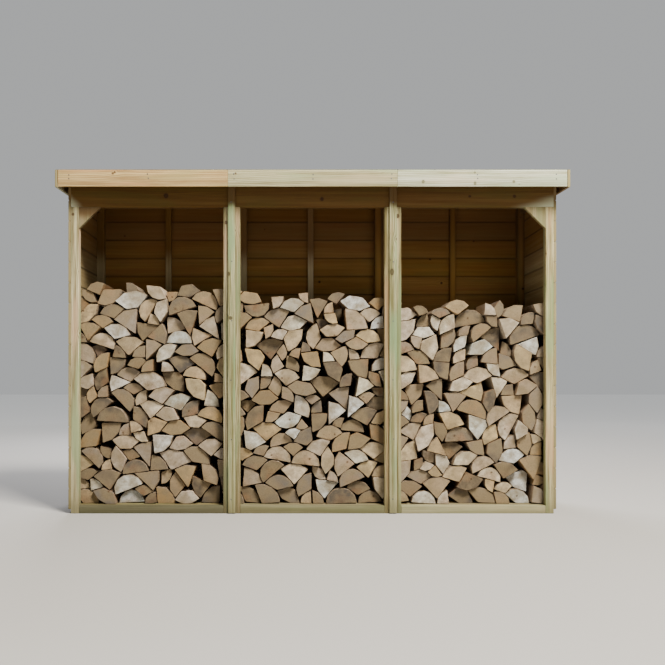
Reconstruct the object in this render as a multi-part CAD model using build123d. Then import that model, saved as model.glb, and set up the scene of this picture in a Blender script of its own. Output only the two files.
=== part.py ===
from build123d import *

import math
import os
import random

import numpy as np
from numpy.lib.stride_tricks import sliding_window_view

# Log store: an open-fronted timber shelter of three equal bays under one shallow roof,
# holding two rows of split firewood that are stacked up the bays' backs and sides.
# The front faces -Y, +X is the right-hand side as seen from the front and +Z is up.
# The origin is at ground level, in the middle of the footprint. Sizes are in millimetres.

# Clearances
joint_gap = 0.3
bay_gap = 3.0
log_gap = 0.3
log_side_gap = 1.2

# Bay frames
bay_pitch = 900.0
frame_depth = 640.0
post_width = 45.0
post_depth = 45.0
post_height = 1712.0
header_height = 128.0
header_depth = 45.0
sill_height = 44.0
sill_depth = 45.0
gusset_leg = 120.0
gusset_thickness = 28.0
cover_strip_width = 40.0
cover_strip_thickness = 14.0
cover_strip_ground_gap = 4.0

# Rear and side walls
rear_stud_width = 45.0
rear_stud_depth = 45.0
mid_stud_width = 36.0
mid_stud_depth = 28.0
bottom_rail_height = 45.0
top_rail_height = 28.0
side_rail_width = 28.0
side_rail_height = 45.0
rear_board_thickness = 12.0
side_board_thickness = 14.0
board_cover = 115.0
board_ground_gap = 24.0
outer_groove_width = 9.0
outer_groove_depth = 4.5
inner_groove_width = 4.0
inner_groove_depth = 2.5

# Floor
bearer_width = 45.0
bearer_height = 28.0
slat_width = 94.0
slat_thickness = 16.0
slat_spacing = 14.0

# Roof
roof_slope = 2.0
rafter_width = 36.0
rafter_height = 45.0
deck_thickness = 12.0
felt_thickness = 3.0
felt_setback = 4.0
front_overhang = 100.0
rear_overhang = 48.0
side_overhang = 30.0
fascia_height = 92.0
fascia_thickness = 16.0
barge_height = 95.0
barge_thickness = 16.0

# Firewood
log_length = 0.4 * frame_depth
log_radius = 108.0
log_setback = 30.0
stack_headroom = 400.0
stack_drop_middle = 56.0
stack_drop_right = 100.0
stack_wave_height = 44.0
stack_wave_length = 290.0
rear_row_drop = 36.0

# Places that follow from the sizes
bays = {"left": -bay_pitch, "middle": 0.0, "right": bay_pitch}
frame_half = (bay_pitch - bay_gap) / 2
wall_half = bay_pitch + frame_half
total_depth = front_overhang + frame_depth + rear_board_thickness + rear_overhang
eave_front = -total_depth / 2
eave_rear = total_depth / 2
post_front = eave_front + front_overhang
post_back = post_front + post_depth
frame_back = post_front + frame_depth
rear_stud_front = frame_back - rear_stud_depth
header_top = post_height + joint_gap + header_height
floor_top = bearer_height + joint_gap + slat_thickness
slope = math.tan(math.radians(roof_slope))
verge_inner = wall_half + side_board_thickness + side_overhang


def rafter_underside(y):
    """Height of the rafters' lower edges at a depth y; the roof falls towards the front."""
    return header_top + joint_gap + (y - post_front) * slope


def deck_underside(y):
    """Height of the roof deck's lower face at a depth y."""
    return rafter_underside(y) + rafter_height + joint_gap


def deck_top(y):
    """Height of the roof deck's upper face at a depth y."""
    return deck_underside(y) + deck_thickness


def prism(points, along):
    """Solid between a flat outline of 3-D points and its copy moved by the vector along."""
    outline = Wire.make_polygon([Vector(*point) for point in points], close=True)
    return Solid.extrude(Face(outline), Vector(*along))


def block(x, y, z):
    """Square-edged timber between two bounds on each axis."""
    corners = [(x[0], y[0], z[0]), (x[1], y[0], z[0]), (x[1], y[1], z[0]), (x[0], y[1], z[0])]
    return prism(corners, (0, 0, z[1] - z[0]))


def sloped(x, y, lower, height):
    """Timber along Y that follows the roof: lower(y) is its lower edge, with upright ends."""
    near, far = y
    outline = [
        (x[0], near, lower(near)),
        (x[0], far, lower(far)),
        (x[0], far, lower(far) + height),
        (x[0], near, lower(near) + height),
    ]
    return prism(outline, (x[1] - x[0], 0, 0))


def save(name, solids):
    """Write the solids of one sub-part as a STEP file."""
    shape = solids[0] if len(solids) == 1 else Compound(children=list(solids))
    shape.label = name
    export_step(shape, f"parts/{name}.step")


def board_seams(top):
    """Heights of the seams between the wall boards, from the lowest board up to a height."""
    first = board_ground_gap + board_cover
    margin = outer_groove_width
    return [z for z in np.arange(first, top - margin, board_cover)]


def wall_section(thickness, top):
    """Outline of a boarded wall as (outward, z): a V at each seam, wide outside and narrow inside."""
    half_in = inner_groove_width / 2
    half_out = outer_groove_width / 2
    seams = board_seams(top)
    inner = [(0.0, board_ground_gap)]
    for z in seams:
        inner += [(0.0, z - half_in), (inner_groove_depth, z), (0.0, z + half_in)]
    inner += [(0.0, top), (thickness, top)]
    outer = []
    for z in seams:
        outer += [(thickness, z - half_out), (thickness - outer_groove_depth, z), (thickness, z + half_out)]
    outer = outer[::-1] + [(thickness, board_ground_gap)]
    return inner + outer


def front_posts(centre):
    """Two posts of one bay frame."""
    y = (post_front, post_back)
    z = (0.0, post_height)
    left, right = centre - frame_half, centre + frame_half
    return [block((left, left + post_width), y, z), block((right - post_width, right), y, z)]


def headers():
    """One deep board over the posts of each bay."""
    z = (post_height + joint_gap, header_top)
    y = (post_front, post_front + header_depth)
    return [block((c - frame_half, c + frame_half), y, z) for c in bays.values()]


def sills():
    """One rail on the ground between the posts of each bay."""
    half = frame_half - post_width - joint_gap
    y = (post_front, post_front + sill_depth)
    return [block((c - half, c + half), y, (0.0, sill_height)) for c in bays.values()]


def corner_gussets():
    """Triangular braces in the upper outer corners of the outer bays."""
    corner = wall_half - post_width - joint_gap
    top = post_height
    solids = []
    for side in (-1, 1):
        outline = [
            (side * corner, post_front, top),
            (side * (corner - gusset_leg), post_front, top),
            (side * corner, post_front, top - gusset_leg),
        ]
        solids.append(prism(outline, (0, gusset_thickness, 0)))
    return solids


def cover_strips():
    """Flat strips over the joints between the bays."""
    y = (post_front - joint_gap - cover_strip_thickness, post_front - joint_gap)
    z = (cover_strip_ground_gap, header_top - joint_gap)
    half = cover_strip_width / 2
    return [block((x - half, x + half), y, z) for x in (-bay_pitch / 2, bay_pitch / 2)]


def rear_studs():
    """Upright at each end of each bay's rear frame."""
    y = (rear_stud_front, frame_back)
    z = (0.0, rafter_underside(rear_stud_front) - top_rail_height - 2 * joint_gap)
    solids = []
    for c in bays.values():
        solids.append(block((c - frame_half, c - frame_half + rear_stud_width), y, z))
        solids.append(block((c + frame_half - rear_stud_width, c + frame_half), y, z))
    return solids


def rear_mid_studs():
    """Lighter upright in the middle of each rear frame, set against the boards."""
    bottom = bottom_rail_height + joint_gap
    top = rafter_underside(rear_stud_front) - top_rail_height - 2 * joint_gap
    x = mid_stud_width / 2
    y = (frame_back - mid_stud_depth, frame_back)
    return [block((c - x, c + x), y, (bottom, top)) for c in bays.values()]


def rear_rails():
    """Bottom rail between the rear studs and flat top rail over them, in each bay."""
    y = (rear_stud_front, frame_back)
    half = frame_half - rear_stud_width - joint_gap
    top = rafter_underside(rear_stud_front) - joint_gap
    solids = []
    for c in bays.values():
        solids.append(block((c - half, c + half), y, (0.0, bottom_rail_height)))
        solids.append(block((c - frame_half, c + frame_half), y, (top - top_rail_height, top)))
    return solids


def rear_boards(centre):
    """Boarded rear wall of one bay."""
    top = rafter_underside(rear_stud_front) - joint_gap
    inner = frame_back + joint_gap
    section = wall_section(rear_board_thickness - joint_gap, top)
    outline = [(centre - frame_half, inner + out, z) for out, z in section]
    return prism(outline, (2 * frame_half, 0, 0))


def side_boards(side):
    """Boarded side wall, cut along the top to the slope of the roof."""
    near, far = post_front, frame_back + rear_board_thickness
    section = wall_section(side_board_thickness - joint_gap, deck_underside(near) - joint_gap)
    inner = wall_half + joint_gap
    outline = [(side * (inner + out), near, z) for out, z in section]
    wall = prism(outline, (0, far - near, 0))
    wedge = prism(
        [
            (side * inner, near, deck_underside(near) - joint_gap),
            (side * inner, far, deck_underside(near) - joint_gap),
            (side * inner, far, deck_underside(far) - joint_gap),
        ],
        (side * (side_board_thickness - joint_gap), 0, 0),
    )
    return wall.fuse(wedge).clean()


def side_rails():
    """Top rail inside each side wall, between the header and the rear stud."""
    near = post_front + header_depth + joint_gap
    far = rear_stud_front - joint_gap
    z = (header_top - side_rail_height, header_top)
    solids = []
    for side in (-1, 1):
        x = sorted((side * (wall_half - side_rail_width), side * wall_half))
        solids.append(block(x, (near, far), z))
    return solids


def floor_bearers():
    """Bearers on the ground, at each bay's ends and middle."""
    near = post_back + joint_gap
    far = rear_stud_front - joint_gap
    edge = frame_half - bearer_width / 2
    solids = []
    for c in bays.values():
        for x in (c - edge, c, c + edge):
            solids.append(block((x - bearer_width / 2, x + bearer_width / 2), (near, far), (0.0, bearer_height)))
    return solids


def floor_slats(centre):
    """Spaced slats over the bearers of one bay."""
    near = post_back + joint_gap
    far = rear_stud_front - joint_gap
    count = int((far - near + slat_spacing) // (slat_width + slat_spacing))
    pitch = (far - near - slat_width) / (count - 1)
    x = (centre - frame_half, centre + frame_half)
    z = (bearer_height + joint_gap, floor_top)
    return [block(x, (near + i * pitch, near + i * pitch + slat_width), z) for i in range(count)]


def rafters():
    """Three rafters over each bay, from the front fascia to the rear one."""
    y = (eave_front + fascia_thickness + joint_gap, eave_rear - fascia_thickness - joint_gap)
    edge = frame_half - rafter_width / 2
    solids = []
    for c in bays.values():
        for x in (c - edge, c, c + edge):
            half = rafter_width / 2
            solids.append(sloped((x - half, x + half), y, rafter_underside, rafter_height))
    return solids


def roof_deck():
    """Deck panel over each bay; the outer ones reach the barge boards."""
    y = (eave_front + fascia_thickness + joint_gap, eave_rear - fascia_thickness - joint_gap)
    joint = bay_pitch / 2
    edge = verge_inner - joint_gap
    spans = [(-edge, -joint - joint_gap), (-joint, joint), (joint + joint_gap, edge)]
    return [sloped(x, y, deck_underside, deck_thickness) for x in spans]


def fascia_top():
    """Top of the front fascia, just under the felt."""
    return deck_top(eave_front)


def fascia_boards():
    """Front fascia in three equal lengths that end against the barge boards."""
    length = 2 * (verge_inner - joint_gap) / 3
    y = (eave_front, eave_front + fascia_thickness)
    z = (fascia_top() - fascia_height, fascia_top())
    starts = [-1.5 * length, -0.5 * length, 0.5 * length]
    return [block((x, x + length - joint_gap), y, z) for x in starts]


def rear_fascia():
    """One board across the rear edge of the roof."""
    top = deck_top(eave_rear - fascia_thickness)
    x = (-verge_inner + joint_gap, verge_inner - joint_gap)
    return block(x, (eave_rear - fascia_thickness, eave_rear), (top - fascia_height, top))


def barge_board(side):
    """Sloping board that closes one end of the roof and laps the fascias' ends."""
    x = sorted((side * verge_inner, side * (verge_inner + barge_thickness)))
    return sloped(x, (eave_front, eave_rear), lambda y: deck_top(y) - barge_height, barge_height)


def roof_felt():
    """Mineral felt over the deck and the tops of the boards around it."""
    edge = verge_inner + barge_thickness - felt_setback
    y = (eave_front + felt_setback, eave_rear - felt_setback)
    return sloped((-edge, edge), y, lambda y: deck_top(y) + joint_gap, felt_thickness)


def split_section(rng, chord_angle):
    """Outline (x, z) of a split log's end, as a sector of a round: bark side first, then the split faces.

    The kinds are quarters, thirds, halves, narrow wedges, wedges without their heart and
    small wedges. chord_angle is the angle of each flat that follows the round bark.
    """
    scale = log_radius / 100.0
    kind = rng.choices(
        ("quarter", "third", "half", "narrow", "heartless", "small"), (24, 20, 14, 9, 22, 11)
    )[0]
    heart = 0.0
    if kind == "quarter":
        radius, sweep = rng.uniform(86, 118), rng.uniform(76, 108)
    elif kind == "third":
        radius, sweep = rng.uniform(74, 98), rng.uniform(112, 140)
    elif kind == "half":
        radius, sweep = rng.uniform(62, 84), 180.0
    elif kind == "narrow":
        radius, sweep = rng.uniform(105, 132), rng.uniform(46, 66)
    elif kind == "heartless":
        radius, sweep = rng.uniform(98, 130), rng.uniform(66, 100)
        heart = rng.uniform(26, 56)
    else:
        radius, sweep = rng.uniform(52, 70), rng.uniform(80, 125)
    radius *= scale
    heart *= scale
    chords = max(2, round(sweep / chord_angle))
    angles = np.radians(np.linspace(-sweep / 2, sweep / 2, chords + 1))
    outline = [(radius * math.sin(a), radius * math.cos(a)) for a in angles]
    half = math.radians(sweep / 2)
    if heart:
        outline.append((heart * math.sin(half) * rng.uniform(0.7, 1.2), heart * math.cos(half)))
        outline.append((-heart * math.sin(half) * rng.uniform(0.7, 1.2), heart * math.cos(half)))
    elif sweep < 180:
        outline.append((rng.uniform(-8, 8) * scale, rng.uniform(-8, 4) * scale))
    return np.array(outline)


def turned(outline, angle):
    """Outline turned by an angle, with its lowest and leftmost points brought to zero."""
    c, s = math.cos(angle), math.sin(angle)
    points = outline @ np.array([[c, s], [-s, c]])
    return points - points.min(axis=0)


def edges_of(outline):
    """Lower and upper edges of a convex outline, each from its left end to its right end."""
    left, right = int(np.argmin(outline[:, 0])), int(np.argmax(outline[:, 0]))
    count = len(outline)
    chains = []
    for step in (1, -1):
        index = left
        chain = [outline[index]]
        while index != right:
            index = (index + step) % count
            chain.append(outline[index])
        chains.append(np.array(chain))
    middle = outline[:, 0].mean()
    heights = [np.interp(middle, chain[:, 0], chain[:, 1]) for chain in chains]
    return chains if heights[0] < heights[1] else chains[::-1]


def area_of(outline):
    """Area of an outline."""
    x, z = outline[:, 0], outline[:, 1]
    return 0.5 * abs(np.dot(x, np.roll(z, -1)) - np.dot(z, np.roll(x, -1)))


def stack_row(width, limit, seed, chord_angle, shapes, turns):
    """Outlines of split logs stacked one on another across a width, up to the height limit(x).

    Each next log is the best of a few sections, turns and places: the one that leaves
    the least empty space under it, lies lowest and lies flattest. It then comes to rest
    log_gap above the logs that it lands on.
    """
    step = 4.0
    deepest_void = 30.0
    height_cost = 0.5
    upright_cost = 0.1
    rng = random.Random(seed)
    places = np.arange(int(width / step) + 1) * step
    ground = np.zeros(len(places))
    stacked = []
    misses = 0
    while misses < 20:
        best = None
        for _ in range(shapes):
            section = split_section(rng, chord_angle)
            area = area_of(section)
            first_turn = rng.uniform(0, 2 * math.pi)
            for turn in range(turns):
                outline = turned(section, first_turn + 2 * math.pi * turn / turns)
                lower, upper = edges_of(outline)
                span = outline[:, 0].max()
                cells = int(math.ceil(span / step)) + 1
                if cells >= len(places):
                    continue
                across = np.minimum(np.arange(cells) * step, span)
                under = np.interp(across, lower[:, 0], lower[:, 1])
                below = sliding_window_view(ground, cells)
                landing = (below - under).max(axis=1)
                void = np.minimum(landing[:, None] + under - below, deepest_void).sum(axis=1) * step
                height = outline[:, 1].max()
                score = void / area + height_cost * (landing + 0.45 * height) / log_radius
                score += upright_cost * height / span
                starts = places[: len(landing)]
                barred = (landing + height > limit(starts + span / 2)) | (starts + span > width)
                score[barred] = np.inf
                index = int(np.argmin(score))
                if np.isfinite(score[index]) and (best is None or score[index] < best[0]):
                    best = (score[index], outline, lower, upper, starts[index], across)
        if best is None:
            misses += 1
            continue
        _, outline, lower, upper, start, across = best
        lower = np.vstack([lower[0] - [log_gap, 0], lower, lower[-1] + [log_gap, 0]]) + [start, 0]
        rest = 0.0
        for _, other in stacked:
            near, far = max(lower[0, 0], other[0, 0]), min(lower[-1, 0], other[-1, 0])
            if near < far:
                xs = np.concatenate([[near, far], lower[:, 0], other[:, 0]])
                xs = xs[(xs >= near) & (xs <= far)]
                over = np.interp(xs, other[:, 0], other[:, 1]) - np.interp(xs, lower[:, 0], lower[:, 1])
                rest = max(rest, float(over.max()))
        rest += log_gap
        cell = int(round(start / step))
        raised = np.interp(across, upper[:, 0], upper[:, 1]) + rest
        ground[cell : cell + len(across)] = np.maximum(ground[cell : cell + len(across)], raised)
        stacked.append((outline + [start, rest], upper + [start, rest]))
    return [outline for outline, _ in stacked]


def stack_limit(drop):
    """Height limit across the store, above the floor, as a function of the distance from its left wall.

    It dips between crests by stack_wave_height, so that the stack's top is uneven.
    """
    ends = [-wall_half, -bay_pitch / 2 - 60, -bay_pitch / 2 + 60, bay_pitch / 2 - 60, bay_pitch / 2 + 60, wall_half]
    falls = [0.0, 0.0, stack_drop_middle, stack_drop_middle, stack_drop_right, stack_drop_right]
    heights = [post_height - stack_headroom - fall - drop - floor_top for fall in falls]

    def limit(x):
        dip = 0.5 - 0.5 * np.cos(2 * math.pi * (x / stack_wave_length - 0.3))
        return np.interp(x - wall_half, ends, heights) - stack_wave_height * dip

    return limit


def log_rows():
    """Front and rear rows of split logs, each as a list of solids for each bay."""
    rng = random.Random(23)
    width = 2 * (wall_half - log_side_gap)
    near = post_back + joint_gap
    depth = (rear_stud_front - joint_gap - near - log_gap) / 2
    length = min(log_length, depth)
    rows = {}
    for row, y_start, drop, chord_angle, shapes, turns in (
        ("front", near, 0.0, 30.0, 3, 14),
        ("rear", near + depth + log_gap, rear_row_drop, 46.0, 2, 9),
    ):
        logs = {name: [] for name in bays}
        for outline in stack_row(width, stack_limit(drop), 7, chord_angle, shapes, turns):
            x = outline[:, 0] - width / 2
            z = outline[:, 1] + floor_top
            setback = rng.uniform(0, log_setback)
            if rng.random() < 0.15:
                setback += log_setback
            reach = min(length * rng.uniform(0.93, 1.0), depth - setback)
            bay = min(bays, key=lambda name: abs(bays[name] - float(x.mean())))
            points = [(px, y_start + setback, pz) for px, pz in zip(x.tolist(), z.tolist())]
            logs[bay].append(prism(points, (0, reach, 0)))
        rows[row] = logs
    return rows


def build():
    """Write every sub-part."""
    os.makedirs("parts", exist_ok=True)
    for name, centre in bays.items():
        save(f"front_posts_{name}", front_posts(centre))
        save(f"rear_boards_{name}", [rear_boards(centre)])
        save(f"floor_slats_{name}", floor_slats(centre))
    save("headers", headers())
    save("sills", sills())
    save("corner_gussets", corner_gussets())
    save("cover_strips", cover_strips())
    save("rear_studs", rear_studs())
    save("rear_mid_studs", rear_mid_studs())
    save("rear_rails", rear_rails())
    save("side_boards_left", [side_boards(-1)])
    save("side_boards_right", [side_boards(1)])
    save("side_rails", side_rails())
    save("floor_bearers", floor_bearers())
    save("rafters", rafters())
    save("roof_deck", roof_deck())
    save("roof_felt", [roof_felt()])
    for name, board in zip(bays, fascia_boards()):
        save(f"fascia_{name}", [board])
    save("rear_fascia", [rear_fascia()])
    save("barge_board_left", [barge_board(-1)])
    save("barge_board_right", [barge_board(1)])
    for row, logs in log_rows().items():
        for name, solids in logs.items():
            save(f"{row}_logs_{name}", solids)


build()
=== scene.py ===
"""Timber log store: the visible surfaces and finishes of the shelter and of its stacked firewood.

Lengths are in metres. The open front faces -Y, +X is the right-hand side as seen from the
front and +Z is up. Every timber is built on the solid that it stands for, so the shelter keeps
its real size; the logs follow the outlines of the stacked solids.
"""

import logging
import math
from collections.abc import Iterable, Mapping, Sequence
from dataclasses import dataclass
from enum import Enum
from typing import Any

import bpy
import numpy as np
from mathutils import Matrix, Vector


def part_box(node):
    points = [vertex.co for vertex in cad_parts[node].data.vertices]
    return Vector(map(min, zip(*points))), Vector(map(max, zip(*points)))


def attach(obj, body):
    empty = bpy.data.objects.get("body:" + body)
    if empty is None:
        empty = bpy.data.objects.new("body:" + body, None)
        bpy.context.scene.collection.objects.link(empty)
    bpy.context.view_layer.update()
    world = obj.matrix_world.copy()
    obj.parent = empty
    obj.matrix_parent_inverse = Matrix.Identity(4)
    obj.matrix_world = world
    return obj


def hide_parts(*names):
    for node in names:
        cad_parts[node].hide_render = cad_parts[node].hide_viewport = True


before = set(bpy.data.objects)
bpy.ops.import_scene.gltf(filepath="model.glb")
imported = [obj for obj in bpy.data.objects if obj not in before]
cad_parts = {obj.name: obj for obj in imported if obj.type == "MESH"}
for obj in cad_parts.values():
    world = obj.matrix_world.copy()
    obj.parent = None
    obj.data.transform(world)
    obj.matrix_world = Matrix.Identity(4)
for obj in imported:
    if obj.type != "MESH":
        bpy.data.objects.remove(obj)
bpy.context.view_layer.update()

log = logging.getLogger("log_store")

MM = 0.001
TURN = 2 * math.pi
ROOF_SLOPE = math.tan(math.radians(2.0))
BAYS = ("left", "middle", "right")
SIDES = {"left": -1.0, "right": 1.0}
FRAMING, BOARDS, TRIM = "framing_timber", "wall_boards", "roof_trim"

Array = np.ndarray
Material = bpy.types.Material
Socket = bpy.types.NodeSocket
Point = tuple[float, float, float]


class Run(Enum):
    """Direction that a timber's length runs in: the axes of (length, width, thickness)."""

    ACROSS = (0, 1, 2)
    DEEP = (1, 2, 0)
    UP = (2, 0, 1)


# Colour and nodes


def linear(code: str) -> tuple[float, float, float, float]:
    """Turn an sRGB hex colour into linear values.

    Args:
        code: Colour as "#RRGGBB".

    Returns:
        Linear red, green and blue, and full opacity.
    """
    parts = [int(code[i : i + 2], 16) / 255 for i in (1, 3, 5)]
    red, green, blue = (p / 12.92 if p <= 0.04045 else ((p + 0.055) / 1.055) ** 2.4 for p in parts)
    return (red, green, blue, 1.0)


# Setting that a node's mode goes to, by kind of node.
MODES = {
    "MapRange": "interpolation_type",
    "Math": "operation",
    "Mix": "data_type",
    "TexNoise": "noise_dimensions",
    "TexVoronoi": "voronoi_dimensions",
    "VectorMath": "operation",
    "VectorRotate": "rotation_type",
}


class Nodes:
    """Node tree of a finish. add puts in one node; the others lay groups that finishes share."""

    def __init__(self, owner: Material | bpy.types.World) -> None:
        """Start with an empty tree.

        Args:
            owner: Material or surroundings that the tree belongs to.
        """
        owner.use_nodes = True
        self.owner, self.tree = owner, owner.node_tree
        self.tree.nodes.clear()

    def add(
        self,
        kind: str,
        inputs: Mapping[Any, Any] | Sequence[Any] = (),
        out: int | str = 0,
        **settings: Any,
    ) -> Socket | None:
        """Add a node, set it and link it.

        Args:
            kind: Blender's name of the node after "ShaderNode", and after a space its mode.
            inputs: Values by socket name or index, or in order. Each is a plain value, a
                "#RRGGBB" colour or the socket that feeds it.
            out: Index or name of the output to hand back.
            **settings: Properties of the node itself.

        Returns:
            The chosen output socket, or None where the node has no output.
        """
        kind, _, mode = kind.partition(" ")
        node = self.tree.nodes.new("ShaderNode" + kind)
        if mode:
            settings[MODES[kind]] = mode
        for name, value in settings.items():
            setattr(node, name, value)
        for key, value in inputs.items() if isinstance(inputs, Mapping) else enumerate(inputs):
            if isinstance(value, Socket):
                self.tree.links.new(value, node.inputs[key])
            else:
                node.inputs[key].default_value = linear(value) if isinstance(value, str) else value
        return node.outputs[out] if len(node.outputs) else None

    def coat(
        self,
        below: Socket | str,
        amount: Socket,
        ramp: tuple[float, float, float, float],
        colour: Socket | str,
        smooth: bool = True,
    ) -> Socket:
        """Lay one colour over another where an amount calls for it.

        Args:
            below: Colour underneath.
            amount: Number that decides where the coat lies.
            ramp: Two amounts, and how far the coat covers at each.
            colour: Colour of the coat.
            smooth: Whether the cover eases in and out between the two.

        Returns:
            The colour of both together.
        """
        cover = self.add("MapRange SMOOTHSTEP" if smooth else "MapRange", (amount, *ramp))
        return self.add("Mix RGBA", {0: cover, 6: below, 7: colour}, 2)

    def drawn_out(
        self,
        at: Socket,
        per_m: tuple[float, float],
        detail: float,
        roughness: float = 0.5,
        flat: bool = True,
    ) -> Socket:
        """Noise that is longer one way than the other.

        Args:
            at: Coordinates in metres.
            per_m: Waves to the metre along the first and second axis.
            detail: Finer layers of the noise.
            roughness: Strength of those layers.
            flat: Whether the noise leaves the third axis out.

        Returns:
            The noise, about 0.5.
        """
        at = self.add("VectorMath MULTIPLY", (at, (*per_m, 1.0)))
        inputs = {"Vector": at, "Scale": 1.0, "Detail": detail, "Roughness": roughness}
        return self.add("TexNoise 2D" if flat else "TexNoise", inputs)

    def grain_and_marks(self) -> tuple[Socket, ...]:
        """Read what a piece carries on its corners.

        Returns:
            Its grain UV and its four marks: end, edge or bark, tone and seed.
        """
        mark = self.add("Attribute", out="Color", attribute_name="mark")
        parts = self.add("SeparateColor", (mark,)).node.outputs
        return (self.add("UVMap", uv_map="grain"), *parts, mark.node.outputs["Alpha"])

    def surface(
        self, sockets: Mapping[str, Any], relief: Mapping[str, Any] | None = None
    ) -> Material:
        """Finish the material.

        Args:
            sockets: Inputs of its surface shader, by name.
            relief: Inputs of the bump that roughens it, by name.

        Returns:
            The material.
        """
        if relief:
            sockets = {**sockets, "Normal": self.add("Bump", relief)}
        shader = self.add("BsdfPrincipled", sockets)
        self.add("OutputMaterial", {"Surface": shader})
        return self.owner


# Surfaces


@dataclass
class Patch:
    """One closed surface: vertices, quads and triangles, with a grain UV and marks on each corner.

    A mark is four numbers: red is 1 on a sawn end, green is 1 on an edge or on bark, blue is the
    piece's own tone and alpha its own seed. Quads under shelter carry the second finish, which
    paints them in shade.
    """

    points: Array
    quads: Array
    quad_uv: Array
    quad_mark: Array
    triangles: Array
    triangle_uv: Array
    triangle_mark: Array
    sheltered_shade: Array | None = None

    @classmethod
    def unmarked(cls, points: Array, quads: Array, triangles: Array) -> "Patch":
        """Make a surface with neither grain nor marks.

        Args:
            points: Its vertices.
            quads: Its four-sided faces.
            triangles: Its triangles.

        Returns:
            The surface.
        """
        blank = (np.zeros((len(f), f.shape[1], n)) for f in (quads, triangles) for n in (2, 4))
        quad_uv, quad_mark, triangle_uv, triangle_mark = blank
        return cls(points, quads, quad_uv, quad_mark, triangles, triangle_uv, triangle_mark)

    def outward(self) -> "Patch":
        """Turn the faces over if the surface encloses a negative volume.

        The volume is a sixth of the sum of a . (b x c) over its triangles.

        Returns:
            The surface itself.
        """
        p, q = self.points, self.quads
        split = np.concatenate([q[:, [0, 1, 2]], q[:, [0, 2, 3]], self.triangles])
        volume = np.einsum("ij,ij->", p[split[:, 0]], np.cross(p[split[:, 1]], p[split[:, 2]]))
        if volume < 0:
            for face in ("quad", "triangle"):
                for name in (face + "s", face + "_uv", face + "_mark"):
                    setattr(self, name, getattr(self, name)[:, ::-1])
        return self

    def facing(self, direction: Sequence[float]) -> Array:
        """Compare each quad's normal, (c - a) x (d - b) of its corners, with a direction.

        Args:
            direction: The direction, of length 1.

        Returns:
            Cosine of the angle between them, for each quad.
        """
        a, b, c, d = (self.points[self.quads[:, k]] for k in range(4))
        normals = np.cross(c - a, d - b)
        lengths = np.maximum(np.linalg.norm(normals, axis=1), 1e-12)
        return normals @ np.asarray(direction, float) / lengths

    def toned(self, tone: float) -> "Patch":
        """Give the whole surface one tone.

        Args:
            tone: From 0 for the darkest board to 1 for the lightest.

        Returns:
            The surface itself.
        """
        for mark in (self.quad_mark, self.triangle_mark):
            mark[:, :, 2] = tone
        return self


def band(ring: int, lower: int, upper: int) -> Array:
    """Join two rings of points with quads (one, next, next above, above).

    Args:
        ring: Number of points in a ring.
        lower: First point of the lower ring.
        upper: First point of the upper ring.

    Returns:
        The four vertices of each quad.
    """
    one = np.arange(ring)
    two = (one + 1) % ring
    return np.stack([lower + one, lower + two, upper + two, upper + one], axis=1)


def fan(ring: int, start: int, hub: int) -> Array:
    """Close a ring of points with triangles (one, next, hub).

    Args:
        ring: Number of points in the ring.
        start: Its first point.
        hub: Point in its middle.

    Returns:
        The three vertices of each triangle.
    """
    one = np.arange(ring)
    return np.stack([start + one, start + (one + 1) % ring, np.full(ring, hub)], axis=1)


def tube(u: Array, v: Array, edge: Array, own: Array) -> tuple[Array, Array, Array]:
    """Quads between the rings of points along a timber or a log.

    Args:
        u: Distance along the grain at each ring.
        v: Distance round the ring at each point, and at the first once more.
        edge: Mark of each point of a ring, 1 on an edge or on bark.
        own: The piece's own mark.

    Returns:
        The quads, and the UV and the marks of their corners.
    """
    ring = len(edge)
    r, c = np.meshgrid(np.arange(len(u) - 1), np.arange(ring), indexing="ij")
    n = (c + 1) % ring
    quads = np.stack([r * ring + c, (r + 1) * ring + c, (r + 1) * ring + n, r * ring + n], -1)
    corners = ((r, c), (r + 1, c), (r + 1, c + 1), (r, c + 1))
    uv = np.stack([np.stack([u[i], v[j]], -1) for i, j in corners], axis=2)
    mark = np.tile(own, (r.size, 4, 1))
    mark[:, :, 1] = np.stack([edge[c], edge[c], edge[n], edge[n]], axis=2).reshape(-1, 4)
    return quads.reshape(-1, 4), uv.reshape(-1, 4, 2), mark


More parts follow.
